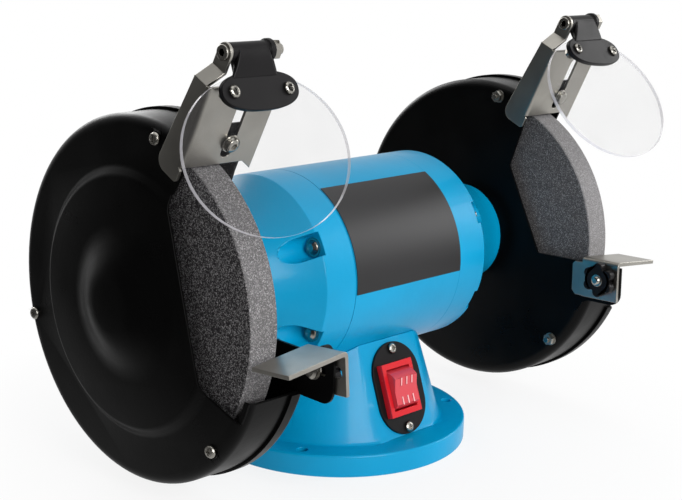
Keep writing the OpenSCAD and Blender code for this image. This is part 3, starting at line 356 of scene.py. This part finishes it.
def noise_relief(name, colour, spacing_mm, relief_mm, detail, **shader_inputs):
    """A finish of one colour whose surface is uneven at one real spacing."""
    material, tree, shader, place = finish(name, colour, **shader_inputs)
    uneven = add(tree, "ShaderNodeTexNoise", {"Vector": place, "Scale": per_mm(spacing_mm), "Detail": detail})
    feed(tree, shader, {
        "Normal": add(tree, "ShaderNodeBump", {"Height": uneven, "Distance": relief_mm * MM})})
    return material


MATERIALS = {}


def make_materials():
    """Builds every finish once, in a fixed order."""
    scene = bpy.context.scene
    paint, wheel = scene.grinder_paint, scene.grinder_wheel
    metal, plastic = scene.grinder_metal, scene.grinder_plastic
    MATERIALS.update(
        enamel=gloss_enamel(),
        guard=stoved_enamel(),
        # Rolled sheet is duller than barrel-plated screws, and a driver's recess is duller still
        zinc=bright_zinc("Bright zinc, rolled sheet", streak_mm=1.2, rough=0.36),
        hardware=bright_zinc("Bright zinc, barrel-plated", streak_mm=2.5, rough=0.24),
        recess=bright_zinc("Bright zinc, in a recess", streak_mm=1.0, rough=0.5),
        # Turned steel is satin, ground races are nearly mirrors, and the pressed cages are warm yellow
        steel=ringed_metal("Mild steel, turned", metal.steel, rough=0.3, pitch_mm=0.6),
        race=ringed_metal("Bearing steel, ground", "#c9cccf", rough=0.12, pitch_mm=0.4),
        brass=ringed_metal("Brass, pressed", "#c9a14e", rough=0.28, pitch_mm=0.5),
        # Electrical steel, dull and slightly blue: its sheets are 0.5 mm thick, and drawn thicker to show
        laminated=ringed_metal(
            "Laminated steel, stacked", "#84878a", rough=0.5, pitch_mm=1.0, relief_mm=0.08),
        # The finer wheel is paler, with less contrast between its grains and its ground
        coarse=vitrified_grit(
            "Corundum, coarse grit", wheel.coarse / MM, bright=0.6, moulded=-0.06, dressed=0.22),
        fine=vitrified_grit("Corundum, fine grit", wheel.fine / MM, bright=0.45, moulded=0.1, dressed=0.4),
        # Nylon is satin and black; the switch's polycarbonate shines, and its clear rocker looks paler, with
        # a pale pink painted highlight on its grip ribs
        black=moulded_plastic("Nylon, moulded black", plastic.black, rough=0.36, gloss=0.12),
        red=moulded_plastic("Polycarbonate, moulded red", plastic.red, rough=0.22, grain_mm=2.0),
        rocker=moulded_plastic("Polycarbonate, clear red", "#cf3d47", rough=0.14, grain_mm=3.0, gloss=0.6),
        rib=moulded_plastic("Polycarbonate, clear red rib", "#eab0b3", rough=0.2, grain_mm=3.0, gloss=0.6),
        # Urea resin is creamy and smooth, and rubber is dull
        ivory=moulded_plastic("Urea, moulded ivory", "#ddd8c8", rough=0.4),
        rubber=moulded_plastic("Rubber, moulded", "#1b1b1b", rough=0.7),
        clear=clear_sheet("Polycarbonate, clear sheet", shade_of(plastic.clear, 0.1), veil=0.07),
        cut=clear_sheet("Polycarbonate, cut edge", plastic.clear, veil=0.58),
        # Screen-printed aluminium foil: satin black, with a slight tooth from the ink
        plate=noise_relief(
            "Printed foil, black", paint.plate, spacing_mm=1.2, relief_mm=0.012, detail=2.0,
            Roughness=0.42, IOR=1.5, Specular_IOR_Level=0.42),
        # Lacquered copper wire: coloured metal under varnish, with the turns as fine ribs
        copper=noise_relief(
            "Enamelled copper, wound", "#b0602c", spacing_mm=1.6, relief_mm=0.3, detail=3.0,
            Metallic=0.85, Roughness=0.35, Coat_Weight=0.5),
        # Blotting card: soft, matt and faintly fibrous
        card=noise_relief(
            "Blotting card", "#ded6c2", spacing_mm=1.5, relief_mm=0.08, detail=5.0, Roughness=0.95),
    )


# ---- Shared ways of making pieces ----


def paint_nodes(material, *names):
    """Gives CAD nodes one finish."""
    for name in names:
        mesh = NODES[name].data
        mesh.materials.clear()
        mesh.materials.append(MATERIALS[material])


def put_in_scene(name, data):
    """A new object in the scene, with its mesh, lamp or camera."""
    made = bpy.data.objects.new(name, data)
    bpy.context.scene.collection.objects.link(made)
    return made


def new_piece(name, shape, material):
    """Turns a worked shape into a piece of one material."""
    mesh = bpy.data.meshes.new(name)
    shape.to_mesh(mesh)
    shape.free()
    mesh.materials.append(material)
    return put_in_scene(name, mesh)


def merged_copy(name, node, material):
    """A copy of a node's mesh with its doubled corners joined and its flat faces made whole."""
    mesh = NODES[node].data.copy()
    mesh.name = name
    shape = bmesh.new()
    shape.from_mesh(mesh)
    bmesh.ops.remove_doubles(shape, verts=shape.verts, dist=WELD)
    bmesh.ops.dissolve_limit(shape, angle_limit=FLAT_ANGLE, verts=shape.verts, edges=shape.edges)
    for face in shape.faces:
        face.smooth = True
    shape.to_mesh(mesh)
    shape.free()
    if "custom_normal" in mesh.attributes:
        mesh.attributes.remove(mesh.attributes["custom_normal"])
    mesh.materials.clear()
    mesh.materials.append(MATERIALS[material])
    return put_in_scene(name, mesh)


def round_edges(piece, edge_mm, segments=2, angle=32, wide=None, wide_mm=0.0):
    """Rounds edges sharper than angle degrees to a real radius; wide picks those with a larger one."""
    if wide:
        largest_mm = max(edge_mm, wide_mm)
        shape = bmesh.new()
        shape.from_mesh(piece.data)
        weight = shape.edges.layers.float.new("bevel_weight_edge")
        for edge in shape.edges:
            if len(edge.link_faces) == 2 and edge.calc_face_angle() > math.radians(angle):
                edge[weight] = (wide_mm if wide(edge) else edge_mm) / largest_mm
        shape.to_mesh(piece.data)
        shape.free()
    modifier = piece.modifiers.new("Edge", "BEVEL")
    modifier.width = max(edge_mm, wide_mm) * MM
    modifier.segments = segments
    modifier.limit_method = "WEIGHT" if wide else "ANGLE"
    modifier.angle_limit = math.radians(angle)
    modifier.use_clamp_overlap = False
    modifier.harden_normals = True


def stand_in(piece, node):
    """Says which node a piece stands for, so it rides with it; the node itself is hidden."""
    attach(piece, NODES[node]["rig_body"])
    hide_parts(node)


def softened(piece_name, node, slot, material, edge_mm, **rounding):
    """A piece that stands for a node, with its sharp edges rounded to a real radius."""
    piece = merged_copy(piece_name, node, material)
    round_edges(piece, edge_mm, **rounding)
    stand_in(piece, node)
    return piece


def front_faces(mesh, forwards, sideways):
    """A mesh's faces that look forwards at least this much, and to a side at most this much."""
    return [f for f in mesh.polygons if f.normal.y < -forwards and abs(f.normal.x) < sideways]


def head_places(mesh):
    """Where each screw in a mesh ends at its head, and which way its head faces."""
    shape = bmesh.new()
    shape.from_mesh(mesh)
    bmesh.ops.remove_doubles(shape, verts=shape.verts, dist=WELD)
    places = []
    seen = set()
    for start in shape.verts:
        if start in seen:
            continue
        # Each screw is the corners that edges join to its first one
        seen.add(start)
        screw = [start]
        for vert in screw:
            for edge in vert.link_edges:
                other = edge.other_vert(vert)
                if other not in seen:
                    seen.add(other)
                    screw.append(other)
        points = [vert.co.copy() for vert in screw]
        middle = sum(points, Vector()) / len(points)
        way = max(points, key=lambda p: (p - middle).length) - middle
        for _ in range(AXIS_STEPS):
            way = sum(((p - middle) * (p - middle).dot(way) for p in points), Vector()).normalized()
        # The head is at the end where the screw is wider
        reach = {1: 0.0, -1: 0.0}
        for p in points:
            along = (p - middle).dot(way)
            side = 1 if along > 0 else -1
            reach[side] = max(reach[side], (p - middle - way * along).length)
        if reach[-1] > reach[1]:
            way = -way
        places.append((middle + way * max((p - middle).dot(way) for p in points), way))
    shape.free()
    return places


def recess_nodes(hexagon):
    """Geometry Nodes that put one driver recess, a cross or a hexagon, at each point, along its way."""
    tree = bpy.data.node_groups.new("Driver recess", "GeometryNodeTree")
    face = tree.interface
    face.new_socket("Geometry", in_out="INPUT", socket_type="NodeSocketGeometry")
    for label in ("Across", "Slot width", "Depth"):
        face.new_socket(label, in_out="INPUT", socket_type="NodeSocketFloat")
    face.new_socket("Material", in_out="INPUT", socket_type="NodeSocketMaterial")
    face.new_socket("Geometry", in_out="OUTPUT", socket_type="NodeSocketGeometry")
    given = add(tree, "NodeGroupInput").outputs
    # The cutter stands half in the head and half over it, so it is twice as tall as the recess is deep
    tall = add(tree, "ShaderNodeMath", {0: given["Depth"], 1: 2.0}, operation="MULTIPLY")
    if hexagon:
        half = add(tree, "ShaderNodeMath", {0: given["Across"], 1: 0.5}, operation="MULTIPLY")
        cutter = add(tree, "GeometryNodeMeshCylinder", {"Vertices": 6, "Radius": half, "Depth": tall})
    else:
        cutter = add(tree, "GeometryNodeJoinGeometry")
        for x, y in (("Across", "Slot width"), ("Slot width", "Across")):
            size = add(tree, "ShaderNodeCombineXYZ", {"X": given[x], "Y": given[y], "Z": tall})
            feed(tree, cutter, {"Geometry": add(tree, "GeometryNodeMeshCube", {"Size": size})})
    way = add(tree, "GeometryNodeInputNamedAttribute", {"Name": "way"}, data_type="FLOAT_VECTOR")
    turn = add(tree, "FunctionNodeAlignRotationToVector", {"Vector": way}, axis="Z")
    placed = add(tree, "GeometryNodeInstanceOnPoints", {
        "Points": given["Geometry"], "Instance": cutter, "Rotation": turn})
    real = add(tree, "GeometryNodeRealizeInstances", {"Geometry": placed})
    finished = add(tree, "GeometryNodeSetMaterial", {"Geometry": real, "Material": given["Material"]})
    add(tree, "NodeGroupOutput", {"Geometry": finished})
    return tree


def plain_mesh(piece):
    """Turns a piece with modifiers into a plain mesh."""
    graph = bpy.context.evaluated_depsgraph_get()
    mesh = bpy.data.meshes.new_from_object(piece.evaluated_get(graph))
    mesh.name = piece.name
    piece.modifiers.clear()
    piece.data = mesh


def recessed_screws(piece_name, node, across_mm, depth_mm, hexagon=False):
    """Screws that stand for a node's, with a driver recess cut into each head."""
    piece = merged_copy(piece_name, node, "hardware")
    places = head_places(NODES[node].data)
    points = bpy.data.meshes.new("recess_points")
    points.from_pydata([place for place, _ in places], [], [])
    ways = points.attributes.new("way", "FLOAT_VECTOR", "POINT")
    for item, (_, way) in zip(ways.data, places):
        item.vector = way
    cutter = put_in_scene("recess_cutter", points)
    tree = recess_nodes(hexagon)
    made = cutter.modifiers.new("Recesses", "NODES")
    made.node_group = tree
    values = {"Across": across_mm * MM, "Slot width": across_mm * CROSS_SLOT * MM, "Depth": depth_mm * MM,
              "Material": MATERIALS["recess"]}
    for item in tree.interface.items_tree:
        if item.in_out == "INPUT" and item.name in values:
            made[item.identifier] = values[item.name]
    plain_mesh(cutter)
    cut = piece.modifiers.new("Recess", "BOOLEAN")
    cut.object = cutter
    cut.operation = "DIFFERENCE"
    cut.solver = "EXACT"
    cut.use_self = True
    cut.material_mode = "TRANSFER"
    plain_mesh(piece)
    bpy.data.objects.remove(cutter)
    round_edges(piece, edge_mm=0.2, segments=1, angle=40)
    stand_in(piece, node)


class PieceOperator:
    """What all the operators share: the finishes come first, then the operator's own pieces."""

    bl_options = {"REGISTER", "UNDO"}

    def execute(self, context):
        if not MATERIALS:
            make_materials()
        self.make(context.scene)
        return {"FINISHED"}


# ---- Pieces ----


# The disc's top, how near to it an edge of the column's foot lies, and the longest edge of its round part
BASE_TOP, NEAR_TOP, FOOT_STEP = 14.5 * MM, 0.05 * MM, 9 * MM


def is_foot(edge):
    """Whether an edge is in the hollow corner round the column's foot."""
    return not edge.is_convex and edge.calc_length() < FOOT_STEP and all(
        abs(vert.co.z - BASE_TOP) < NEAR_TOP for vert in edge.verts)


class GRINDER_OT_castings(PieceOperator, bpy.types.Operator):
    """Paint the base, the stator shell and the two end bells"""

    bl_idname = "grinder.castings"
    bl_label = "Castings"

    def make(self, scene):
        paint_nodes("enamel", "stator_shell")
        softened("base", "base_casting", "blue_paint", "enamel", edge_mm=0.6, wide=is_foot, wide_mm=1.8)
        for side in SIDES:
            softened(f"{side}_bell", f"end_bell_{side}", "blue_paint", "enamel", edge_mm=0.6)


class GRINDER_OT_base_fittings(PieceOperator, bpy.types.Operator):
    """Finish what sits in and under the base"""

    bl_idname = "grinder.base_fittings"
    bl_label = "Base fittings"

    def make(self, scene):
        paint_nodes("zinc", "bottom_plate", "capacitor_clamp")
        paint_nodes("hardware", "bottom_plate_screws", "saddle_screws")
        paint_nodes("rubber", "cable_grommet")
        paint_nodes("ivory", "terminal_block", "start_capacitor")


# How far in front of one of the rocker's two main faces the top of a grip rib lies, and how level with it
RIB_LOW, RIB_HIGH = 0.2 * MM, 2 * MM
RIB_LEVEL = 0.99


class GRINDER_OT_switch(PieceOperator, bpy.types.Operator):
    """Make the rocker switch with its plate and screws"""

    bl_idname = "grinder.switch"
    bl_label = "Rocker switch"

    def make(self, scene):
        softened("switch_frame", "switch_body", "red_plastic", "red", edge_mm=0.5)
        self.make_key()
        softened("switch_bezel", "switch_plate", "black_plastic", "black", edge_mm=0.4)
        recessed_screws("switch_pan_screws", "switch_screws", across_mm=3.6, depth_mm=1.2)

    def make_key(self):
        """The rocker of clear red plastic, whose grip ribs carry a pale pink painted highlight."""
        key = merged_copy("switch_key", "switch_rocker", "rocker")
        key.data.materials.append(MATERIALS["rib"])
        fronts = front_faces(key.data, forwards=0.5, sideways=0.1)
        main = sorted(fronts, key=lambda face: face.area)[-2:]
        for face in fronts:
            for ground in main:
                proud = (face.center - ground.center).dot(ground.normal)
                if face.normal.dot(ground.normal) > RIB_LEVEL and RIB_LOW < proud < RIB_HIGH:
                    # The rib tops take the pale finish, a painted highlight
                    face.material_index = 1
        round_edges(key, edge_mm=0.3)
        stand_in(key, "switch_rocker")


class GRINDER_OT_motor(PieceOperator, bpy.types.Operator):
    """Finish the motor's inside, its plate and its through bolts"""

    bl_idname = "grinder.motor"
    bl_label = "Motor"

    def make(self, scene):
        paint_nodes("laminated", "stator_core", "rotor_core")
        paint_nodes("copper", "stator_winding")
        paint_nodes("plate", "rating_plate")
        paint_nodes("hardware", "through_bolts", "through_bolt_nuts")


class GRINDER_OT_rotor(PieceOperator, bpy.types.Operator):
    """Finish the shaft, the bearings, the flanges and the wheels"""

    bl_idname = "grinder.rotor"
    bl_label = "Rotor and wheels"

    def make(self, scene):
        paint_nodes("steel", "rotor_shaft", "inner_flanges", "outer_flanges", "shaft_nuts", "preload_washer")
        paint_nodes("race", "bearing_outer_rings", "bearing_inner_rings", "bearing_balls")
        paint_nodes("brass", "bearing_cages")
        paint_nodes("card", "wheel_blotters")
        paint_nodes("coarse", "wheel_left")
        paint_nodes("fine", "wheel_right")


# The slope of the covers' middle boss, from its foot to its top, as the solids have it and as it is pressed,
# and how far past its ends a corner still counts as the slope's
BOSS_FOOT, BOSS_TOP = 36 * MM, 25 * MM
SOFT_FOOT, SOFT_TOP = 48 * MM, 15 * MM
BOSS_SLACK = 1 * MM


class GRINDER_OT_guards(PieceOperator, bpy.types.Operator):
    """Paint the pressed guards and finish their fasteners"""

    bl_idname = "grinder.guards"
    bl_label = "Guards"

    def make(self, scene):
        for side in SIDES:
            paint_nodes("guard", f"guard_housing_{side}")
            self.make_cover(side)
        recessed_screws("guard_pan_screws", "guard_screws", across_mm=4.0, depth_mm=1.3)
        paint_nodes("zinc", "guard_nuts", "guard_mount_screws")

    def make_cover(self, side):
        """The domed cover, whose middle boss rises in a long soft slope."""
        cover = merged_copy(f"{side}_cover", f"guard_cover_{side}", "guard")
        for vert in cover.data.vertices:
            away = Vector((0.0, vert.co.y, vert.co.z - SHAFT_HEIGHT))
            if BOSS_TOP - BOSS_SLACK < away.length < BOSS_FOOT + BOSS_SLACK:
                share = (away.length - BOSS_TOP) / (BOSS_FOOT - BOSS_TOP)
                away *= (SOFT_TOP + share * (SOFT_FOOT - SOFT_TOP)) / away.length
                vert.co.y, vert.co.z = away.y, away.z + SHAFT_HEIGHT
        round_edges(cover, edge_mm=0.4)
        stand_in(cover, f"guard_cover_{side}")


# How far the middle of a holder's front lies to the left of the whole holder's middle
HOLDER_SIDE = 2.2 * MM
# Section of that front, in mm: how far out from the pivot, how far down, and half its width there
WEB_SECTION = (
    (5.2, 0.0, 11.2), (5.15, 1.6, 11.2), (4.9, 3.4, 11.6), (4.3, 5.6, 12.4), (3.5, 8.0, 13.2),
    (2.6, 10.4, 14.2), (1.7, 12.8, 15.6), (1.0, 15.0, 16.6), (-0.4, 15.0, 16.6), (-0.6, 5.2, 12.4),
    (3.6, 3.4, 11.6), (4.2, 0.0, 11.2))
# A face of the clear sheet belongs to its cut edge when it is less level with the sheet's front than this
CUT_LEVEL = 0.5


class GRINDER_OT_eye_shields(PieceOperator, bpy.types.Operator):
    """Make the brackets, the holders and the clear shields"""

    bl_idname = "grinder.eye_shields"
    bl_label = "Eye shields"

    def make(self, scene):
        paint_nodes("hardware", "bracket_nuts")
        recessed_screws("bracket_cap_screws", "bracket_bolts", across_mm=4.2, depth_mm=1.6, hexagon=True)
        for side in SIDES:
            softened(f"{side}_bracket_plate", f"shield_bracket_{side}", "bright_zinc", "zinc", edge_mm=0.4)
            softened(f"{side}_holder", f"shield_holder_{side}", "black_plastic", "black", edge_mm=0.6)
            self.make_web(side)
            self.make_sheet(side)
            recessed_screws(f"{side}_lens_screws", f"lens_screws_{side}", across_mm=4.0, depth_mm=1.3)
            recessed_screws(
                f"{side}_pivot_bolt", f"pivot_bolt_{side}", across_mm=4.0, depth_mm=1.6, hexagon=True)

    def make_web(self, side):
        """The smooth front that leads from the holder's barrel down to its oval plate."""
        node = f"shield_holder_{side}"
        fronts = front_faces(NODES[node].data, forwards=0.0, sideways=0.02)
        front = max(fronts, key=lambda face: face.area).normal.copy()
        pivot, _ = head_places(NODES[f"pivot_bolt_{side}"].data)[0]
        low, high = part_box(node)
        middle = (low[0] + high[0]) / 2 - HOLDER_SIDE
        up = front.cross(Vector((1, 0, 0)))
        if up.z < 0:
            up = -up
        shape = bmesh.new()
        rings = []
        for out, drop, half in WEB_SECTION:
            at = Vector((middle, pivot.y, pivot.z)) + front * out * MM - up * drop * MM
            rings.append([shape.verts.new(at + Vector((half * end * MM, 0, 0))) for end in (-1, 1)])
        for here, after in zip(rings, rings[1:] + rings[:1]):
            shape.faces.new((here[0], here[1], after[1], after[0]))
        for end in (0, 1):
            shape.faces.new([ring[end] for ring in rings])
        bmesh.ops.recalc_face_normals(shape, faces=shape.faces)
        for face in shape.faces:
            face.smooth = True
        web = new_piece(f"{side}_holder_web", shape, MATERIALS["black"])
        round_edges(web, edge_mm=1.2, segments=3, angle=50)
        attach(web, NODES[node]["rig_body"])

    def make_sheet(self, side):
        """The disc of clear sheet, whose narrow cut edge is milky and so shows as a bright line."""
        sheet = softened(
            f"{side}_shield_sheet", f"shield_lens_{side}", "clear_plastic", "clear", edge_mm=0.25)
        sheet.data.materials.append(MATERIALS["cut"])
        front = max(sheet.data.polygons, key=lambda face: face.area).normal.copy()
        for face in sheet.data.polygons:
            if abs(face.normal.dot(front)) < CUT_LEVEL:
                face.material_index = 1


# The metal insert that shows in a knob, in mm: each point is how far it stands out, and its radius there.
# It has a flat collar, a few turns of thread and a chamfered end
STUD_RADIUS, STUD_SIDES = 2.6, 32
THREAD_START, THREAD_STEP, THREAD_DEPTH, THREAD_POINTS = 0.4, 0.35, 0.3, 7
STUD_PROFILE = (
    (-1.0, 4.2), (0.3, 4.2), (0.4, 4.0),
    *((THREAD_START + THREAD_STEP * i, STUD_RADIUS - THREAD_DEPTH * (i % 2)) for i in range(THREAD_POINTS)),
    (2.9, STUD_RADIUS - 0.8))


class GRINDER_OT_tool_rests(PieceOperator, bpy.types.Operator):
    """Make the tool rests with their bolts and knobs"""

    bl_idname = "grinder.tool_rests"
    bl_label = "Tool rests"

    def make(self, scene):
        for side in SIDES:
            softened(f"{side}_rest_plate", f"tool_rest_{side}", "bright_zinc", "zinc", edge_mm=0.35)
            softened(f"{side}_knob", f"rest_knob_{side}", "black_plastic", "black", edge_mm=0.7)
            paint_nodes("hardware", f"rest_bolt_{side}")
            self.make_stud(side)

    def make_stud(self, side):
        """The threaded end of the insert that shows in the middle of a knob."""
        node = f"rest_knob_{side}"
        low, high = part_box(node)
        out = 1 if side == "left" else -1
        start = Vector((high[0] if out > 0 else low[0], (low[1] + high[1]) / 2, (low[2] + high[2]) / 2))
        corners = [math.tau * i / STUD_SIDES for i in range(STUD_SIDES)]
        shape = bmesh.new()
        rings = [
            [shape.verts.new(start + Vector((out * along, radius * math.cos(a), radius * math.sin(a))) * MM)
             for a in corners]
            for along, radius in STUD_PROFILE]
        for here, after in zip(rings, rings[1:]):
            for i in range(STUD_SIDES):
                shape.faces.new((here[i], here[i - 1], after[i - 1], after[i]))
        shape.faces.new(rings[0])
        shape.faces.new(rings[-1])
        bmesh.ops.recalc_face_normals(shape, faces=shape.faces)
        stud = new_piece(f"{side}_knob_stud", shape, MATERIALS["hardware"])
        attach(stud, NODES[node]["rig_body"])


# ---- Stage ----

# The frame in pixels, and the camera: angles in degrees, distance, target and sensor in mm
IMAGE_WIDTH, IMAGE_HEIGHT = 682, 500
SENSOR_WIDTH = 36.0
CAMERA = {
    "azimuth": -45.772, "elevation": 13.308, "distance": 935.70, "roll": 1.5338,
    "target": (-0.774, 0.0, 127.946), "focal_px": 1390.61, "centre_px": (337.90, 248.20),
}
# Place and width of each square soft lamp, in metres, and the point that they all face
LAMPS = {
    "key": ((-0.5, -1.9, 0.9), 1.1),
    "fill": ((1.6, -0.7, 0.7), 0.8),
    "top": ((0.1, 0.1, 1.9), 1.2),
    "back": ((0.6, 1.8, 1.0), 1.1),
}
LAMP_AIM = (0.0, 0.0, 0.13)
# How bright the room is for what shines, on its dim left side and on its lit right side, and where one
# turns into the other: on the floor in metres, and in the room as a share of the direction
DIM_SIDE, LIT_SIDE = 0.07, 0.9
FLOOR_TURN = (-0.35, -0.1)
ROOM_TURN = (-0.5, -0.1)
# The floor's radius, the distances between which it runs out into the white room, and how white it starts
FLOOR_RADIUS, FLOOR_SIDES = 0.9, 96
FADE_FROM, FADE_TO = 0.1, 0.3
FADE_LEAST = 0.8
WHITE = (1, 1, 1, 1)


def room_shine(tree, across, limits):
    """How bright what shines sees the room, from its dim left side to its lit right side."""
    return add(tree, "ShaderNodeMapRange", {
        "Value": across, "From Min": limits[0], "From Max": limits[1],
        "To Min": DIM_SIDE, "To Max": LIT_SIDE})


class GRINDER_OT_stage(PieceOperator, bpy.types.Operator):
    """Set the floor, the lamps, the room light and the camera"""

    bl_idname = "grinder.stage"
    bl_label = "Stage"

    def make(self, scene):
        studio = scene.grinder_studio
        self.make_floor(studio)
        self.make_room(scene, studio)
        for name, (place, width) in LAMPS.items():
            self.make_lamp(f"{name}_lamp", Vector(place), width, getattr(studio, name))
        self.make_camera(scene)

    def make_floor(self, studio):
        """A pale disc that shows near the object, with its shadow, and runs out into the white room."""
        shape = bmesh.new()
        bmesh.ops.create_circle(shape, cap_ends=True, segments=FLOOR_SIDES, radius=FLOOR_RADIUS)
        material, tree, shader, place = finish(
            "Floor, matt paint", studio.floor, Roughness=0.9, Specular_IOR_Level=0.1)
        path = add(tree, "ShaderNodeLightPath").outputs
        distance = add(tree, "ShaderNodeVectorMath", {0: place}, operation="LENGTH").outputs["Value"]
        fade = add(tree, "ShaderNodeMapRange", {
            "Value": distance, "From Min": FADE_FROM, "From Max": FADE_TO, "To Min": FADE_LEAST})
        seen = add(tree, "ShaderNodeMath", {
            0: path["Is Camera Ray"], 1: path["Is Transmission Ray"]}, operation="MAXIMUM")
        direct = add(tree, "ShaderNodeMath", {0: seen, 1: fade}, operation="MULTIPLY")
        amount = add(tree, "ShaderNodeMath", {0: direct, 1: path["Is Glossy Ray"]}, operation="MAXIMUM")
        across = add(tree, "ShaderNodeSeparateXYZ", {"Vector": place}).outputs["X"]
        shown = room_shine(tree, across, FLOOR_TURN)
        strength = add(tree, "ShaderNodeMath", {0: seen, 1: shown}, operation="MAXIMUM")
        glow = add(tree, "ShaderNodeEmission", {"Color": WHITE, "Strength": strength})
        feed(tree, tree.nodes["Material Output"], {
            "Surface": add(tree, "ShaderNodeMixShader", {0: amount, 1: shader, 2: glow})})
        new_piece("floor", shape, material)

    def make_room(self, scene, studio):
        """A white room, whose left side is dim in what shines, as where no lamp stands."""
        world = bpy.data.worlds.new("studio_room")
        world.use_nodes = True
        tree = world.node_tree
        light = tree.nodes["Background"]
        feed(tree, light, {"Color": WHITE, "Strength": studio.sky})
        path = add(tree, "ShaderNodeLightPath").outputs
        toward = add(tree, "ShaderNodeTexCoord").outputs["Generated"]
        across = add(tree, "ShaderNodeSeparateXYZ", {"Vector": toward}).outputs["X"]
        shown = room_shine(tree, across, ROOM_TURN)
        gloss = add(tree, "ShaderNodeBackground", {"Color": WHITE, "Strength": shown})
        white = add(tree, "ShaderNodeBackground", {"Color": WHITE, "Strength": 1.0})
        lit = add(tree, "ShaderNodeMixShader", {0: path["Is Glossy Ray"], 1: light, 2: gloss})
        seen = add(tree, "ShaderNodeMath", {
            0: path["Is Camera Ray"], 1: path["Is Transmission Ray"]}, operation="MAXIMUM")
        feed(tree, tree.nodes["World Output"], {
            "Surface": add(tree, "ShaderNodeMixShader", {0: seen, 1: lit, 2: white})})
        scene.world = world

    def make_lamp(self, name, place, width, power):
        """A square soft lamp that faces the grinder."""
        light = bpy.data.lights.new(name, "AREA")
        light.size = width
        light.energy = power
        lamp = put_in_scene(name, light)
        lamp.location = place
        lamp.rotation_euler = (Vector(LAMP_AIM) - place).to_track_quat("-Z", "Y").to_euler()

    def make_camera(self, scene):
        """The camera, which looks down a little at the left end of the grinder."""
        azimuth, elevation, roll = (math.radians(CAMERA[k]) for k in ("azimuth", "elevation", "roll"))
        flat = Vector((math.sin(azimuth), -math.cos(azimuth), 0.0))
        back = flat * math.cos(elevation) + Vector((0, 0, math.sin(elevation)))
        right = (-back).cross(Vector((0, 0, 1))).normalized()
        up = right.cross(-back)
        side = right * math.cos(roll) + up * math.sin(roll)
        top = up * math.cos(roll) - right * math.sin(roll)
        place = Vector(CAMERA["target"]) * MM + back * CAMERA["distance"] * MM
        data = bpy.data.cameras.new("camera")
        data.sensor_width = SENSOR_WIDTH
        data.lens = CAMERA["focal_px"] / IMAGE_WIDTH * SENSOR_WIDTH
        data.shift_x = (IMAGE_WIDTH / 2 - CAMERA["centre_px"][0]) / IMAGE_WIDTH
        data.shift_y = (CAMERA["centre_px"][1] - IMAGE_HEIGHT / 2) / IMAGE_WIDTH
        camera = put_in_scene("camera", data)
        camera.matrix_world = Matrix.Translation(place) @ Matrix((side, top, back)).transposed().to_4x4()
        scene.camera = camera
        scene.view_settings.view_transform = "Standard"


PIECES = (
    GRINDER_OT_castings,
    GRINDER_OT_base_fittings,
    GRINDER_OT_switch,
    GRINDER_OT_motor,
    GRINDER_OT_rotor,
    GRINDER_OT_guards,
    GRINDER_OT_eye_shields,
    GRINDER_OT_tool_rests,
    GRINDER_OT_stage,
)

SETTINGS = {
    "grinder_paint": PaintSettings,
    "grinder_wheel": WheelSettings,
    "grinder_metal": MetalSettings,
    "grinder_plastic": PlasticSettings,
    "grinder_studio": StudioSettings,
}


class GRINDER_PT_panel(bpy.types.Panel):
    """Lists the pieces and their settings."""

    bl_label = "Bench Grinder"
    bl_space_type = "VIEW_3D"
    bl_region_type = "UI"
    bl_category = "Grinder"

    def draw(self, context):
        for name in SETTINGS:
            box = self.layout.box()
            group = getattr(context.scene, name)
            for prop in group.__annotations__:
                box.prop(group, prop)
        for piece in PIECES:
            self.layout.operator(piece.bl_idname)


CLASSES = (*SETTINGS.values(), *PIECES, GRINDER_PT_panel)


def register():
    for made in CLASSES:
        bpy.utils.register_class(made)
    for name, group in SETTINGS.items():
        setattr(bpy.types.Scene, name, PointerProperty(type=group))


def unregister():
    for name in SETTINGS:
        delattr(bpy.types.Scene, name)
    for made in reversed(CLASSES):
        bpy.utils.unregister_class(made)


def main():
    register()
    for piece in PIECES:
        group, name = piece.bl_idname.split(".")
        getattr(getattr(bpy.ops, group), name)()
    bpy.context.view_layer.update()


if __name__ == "__main__":
    main()
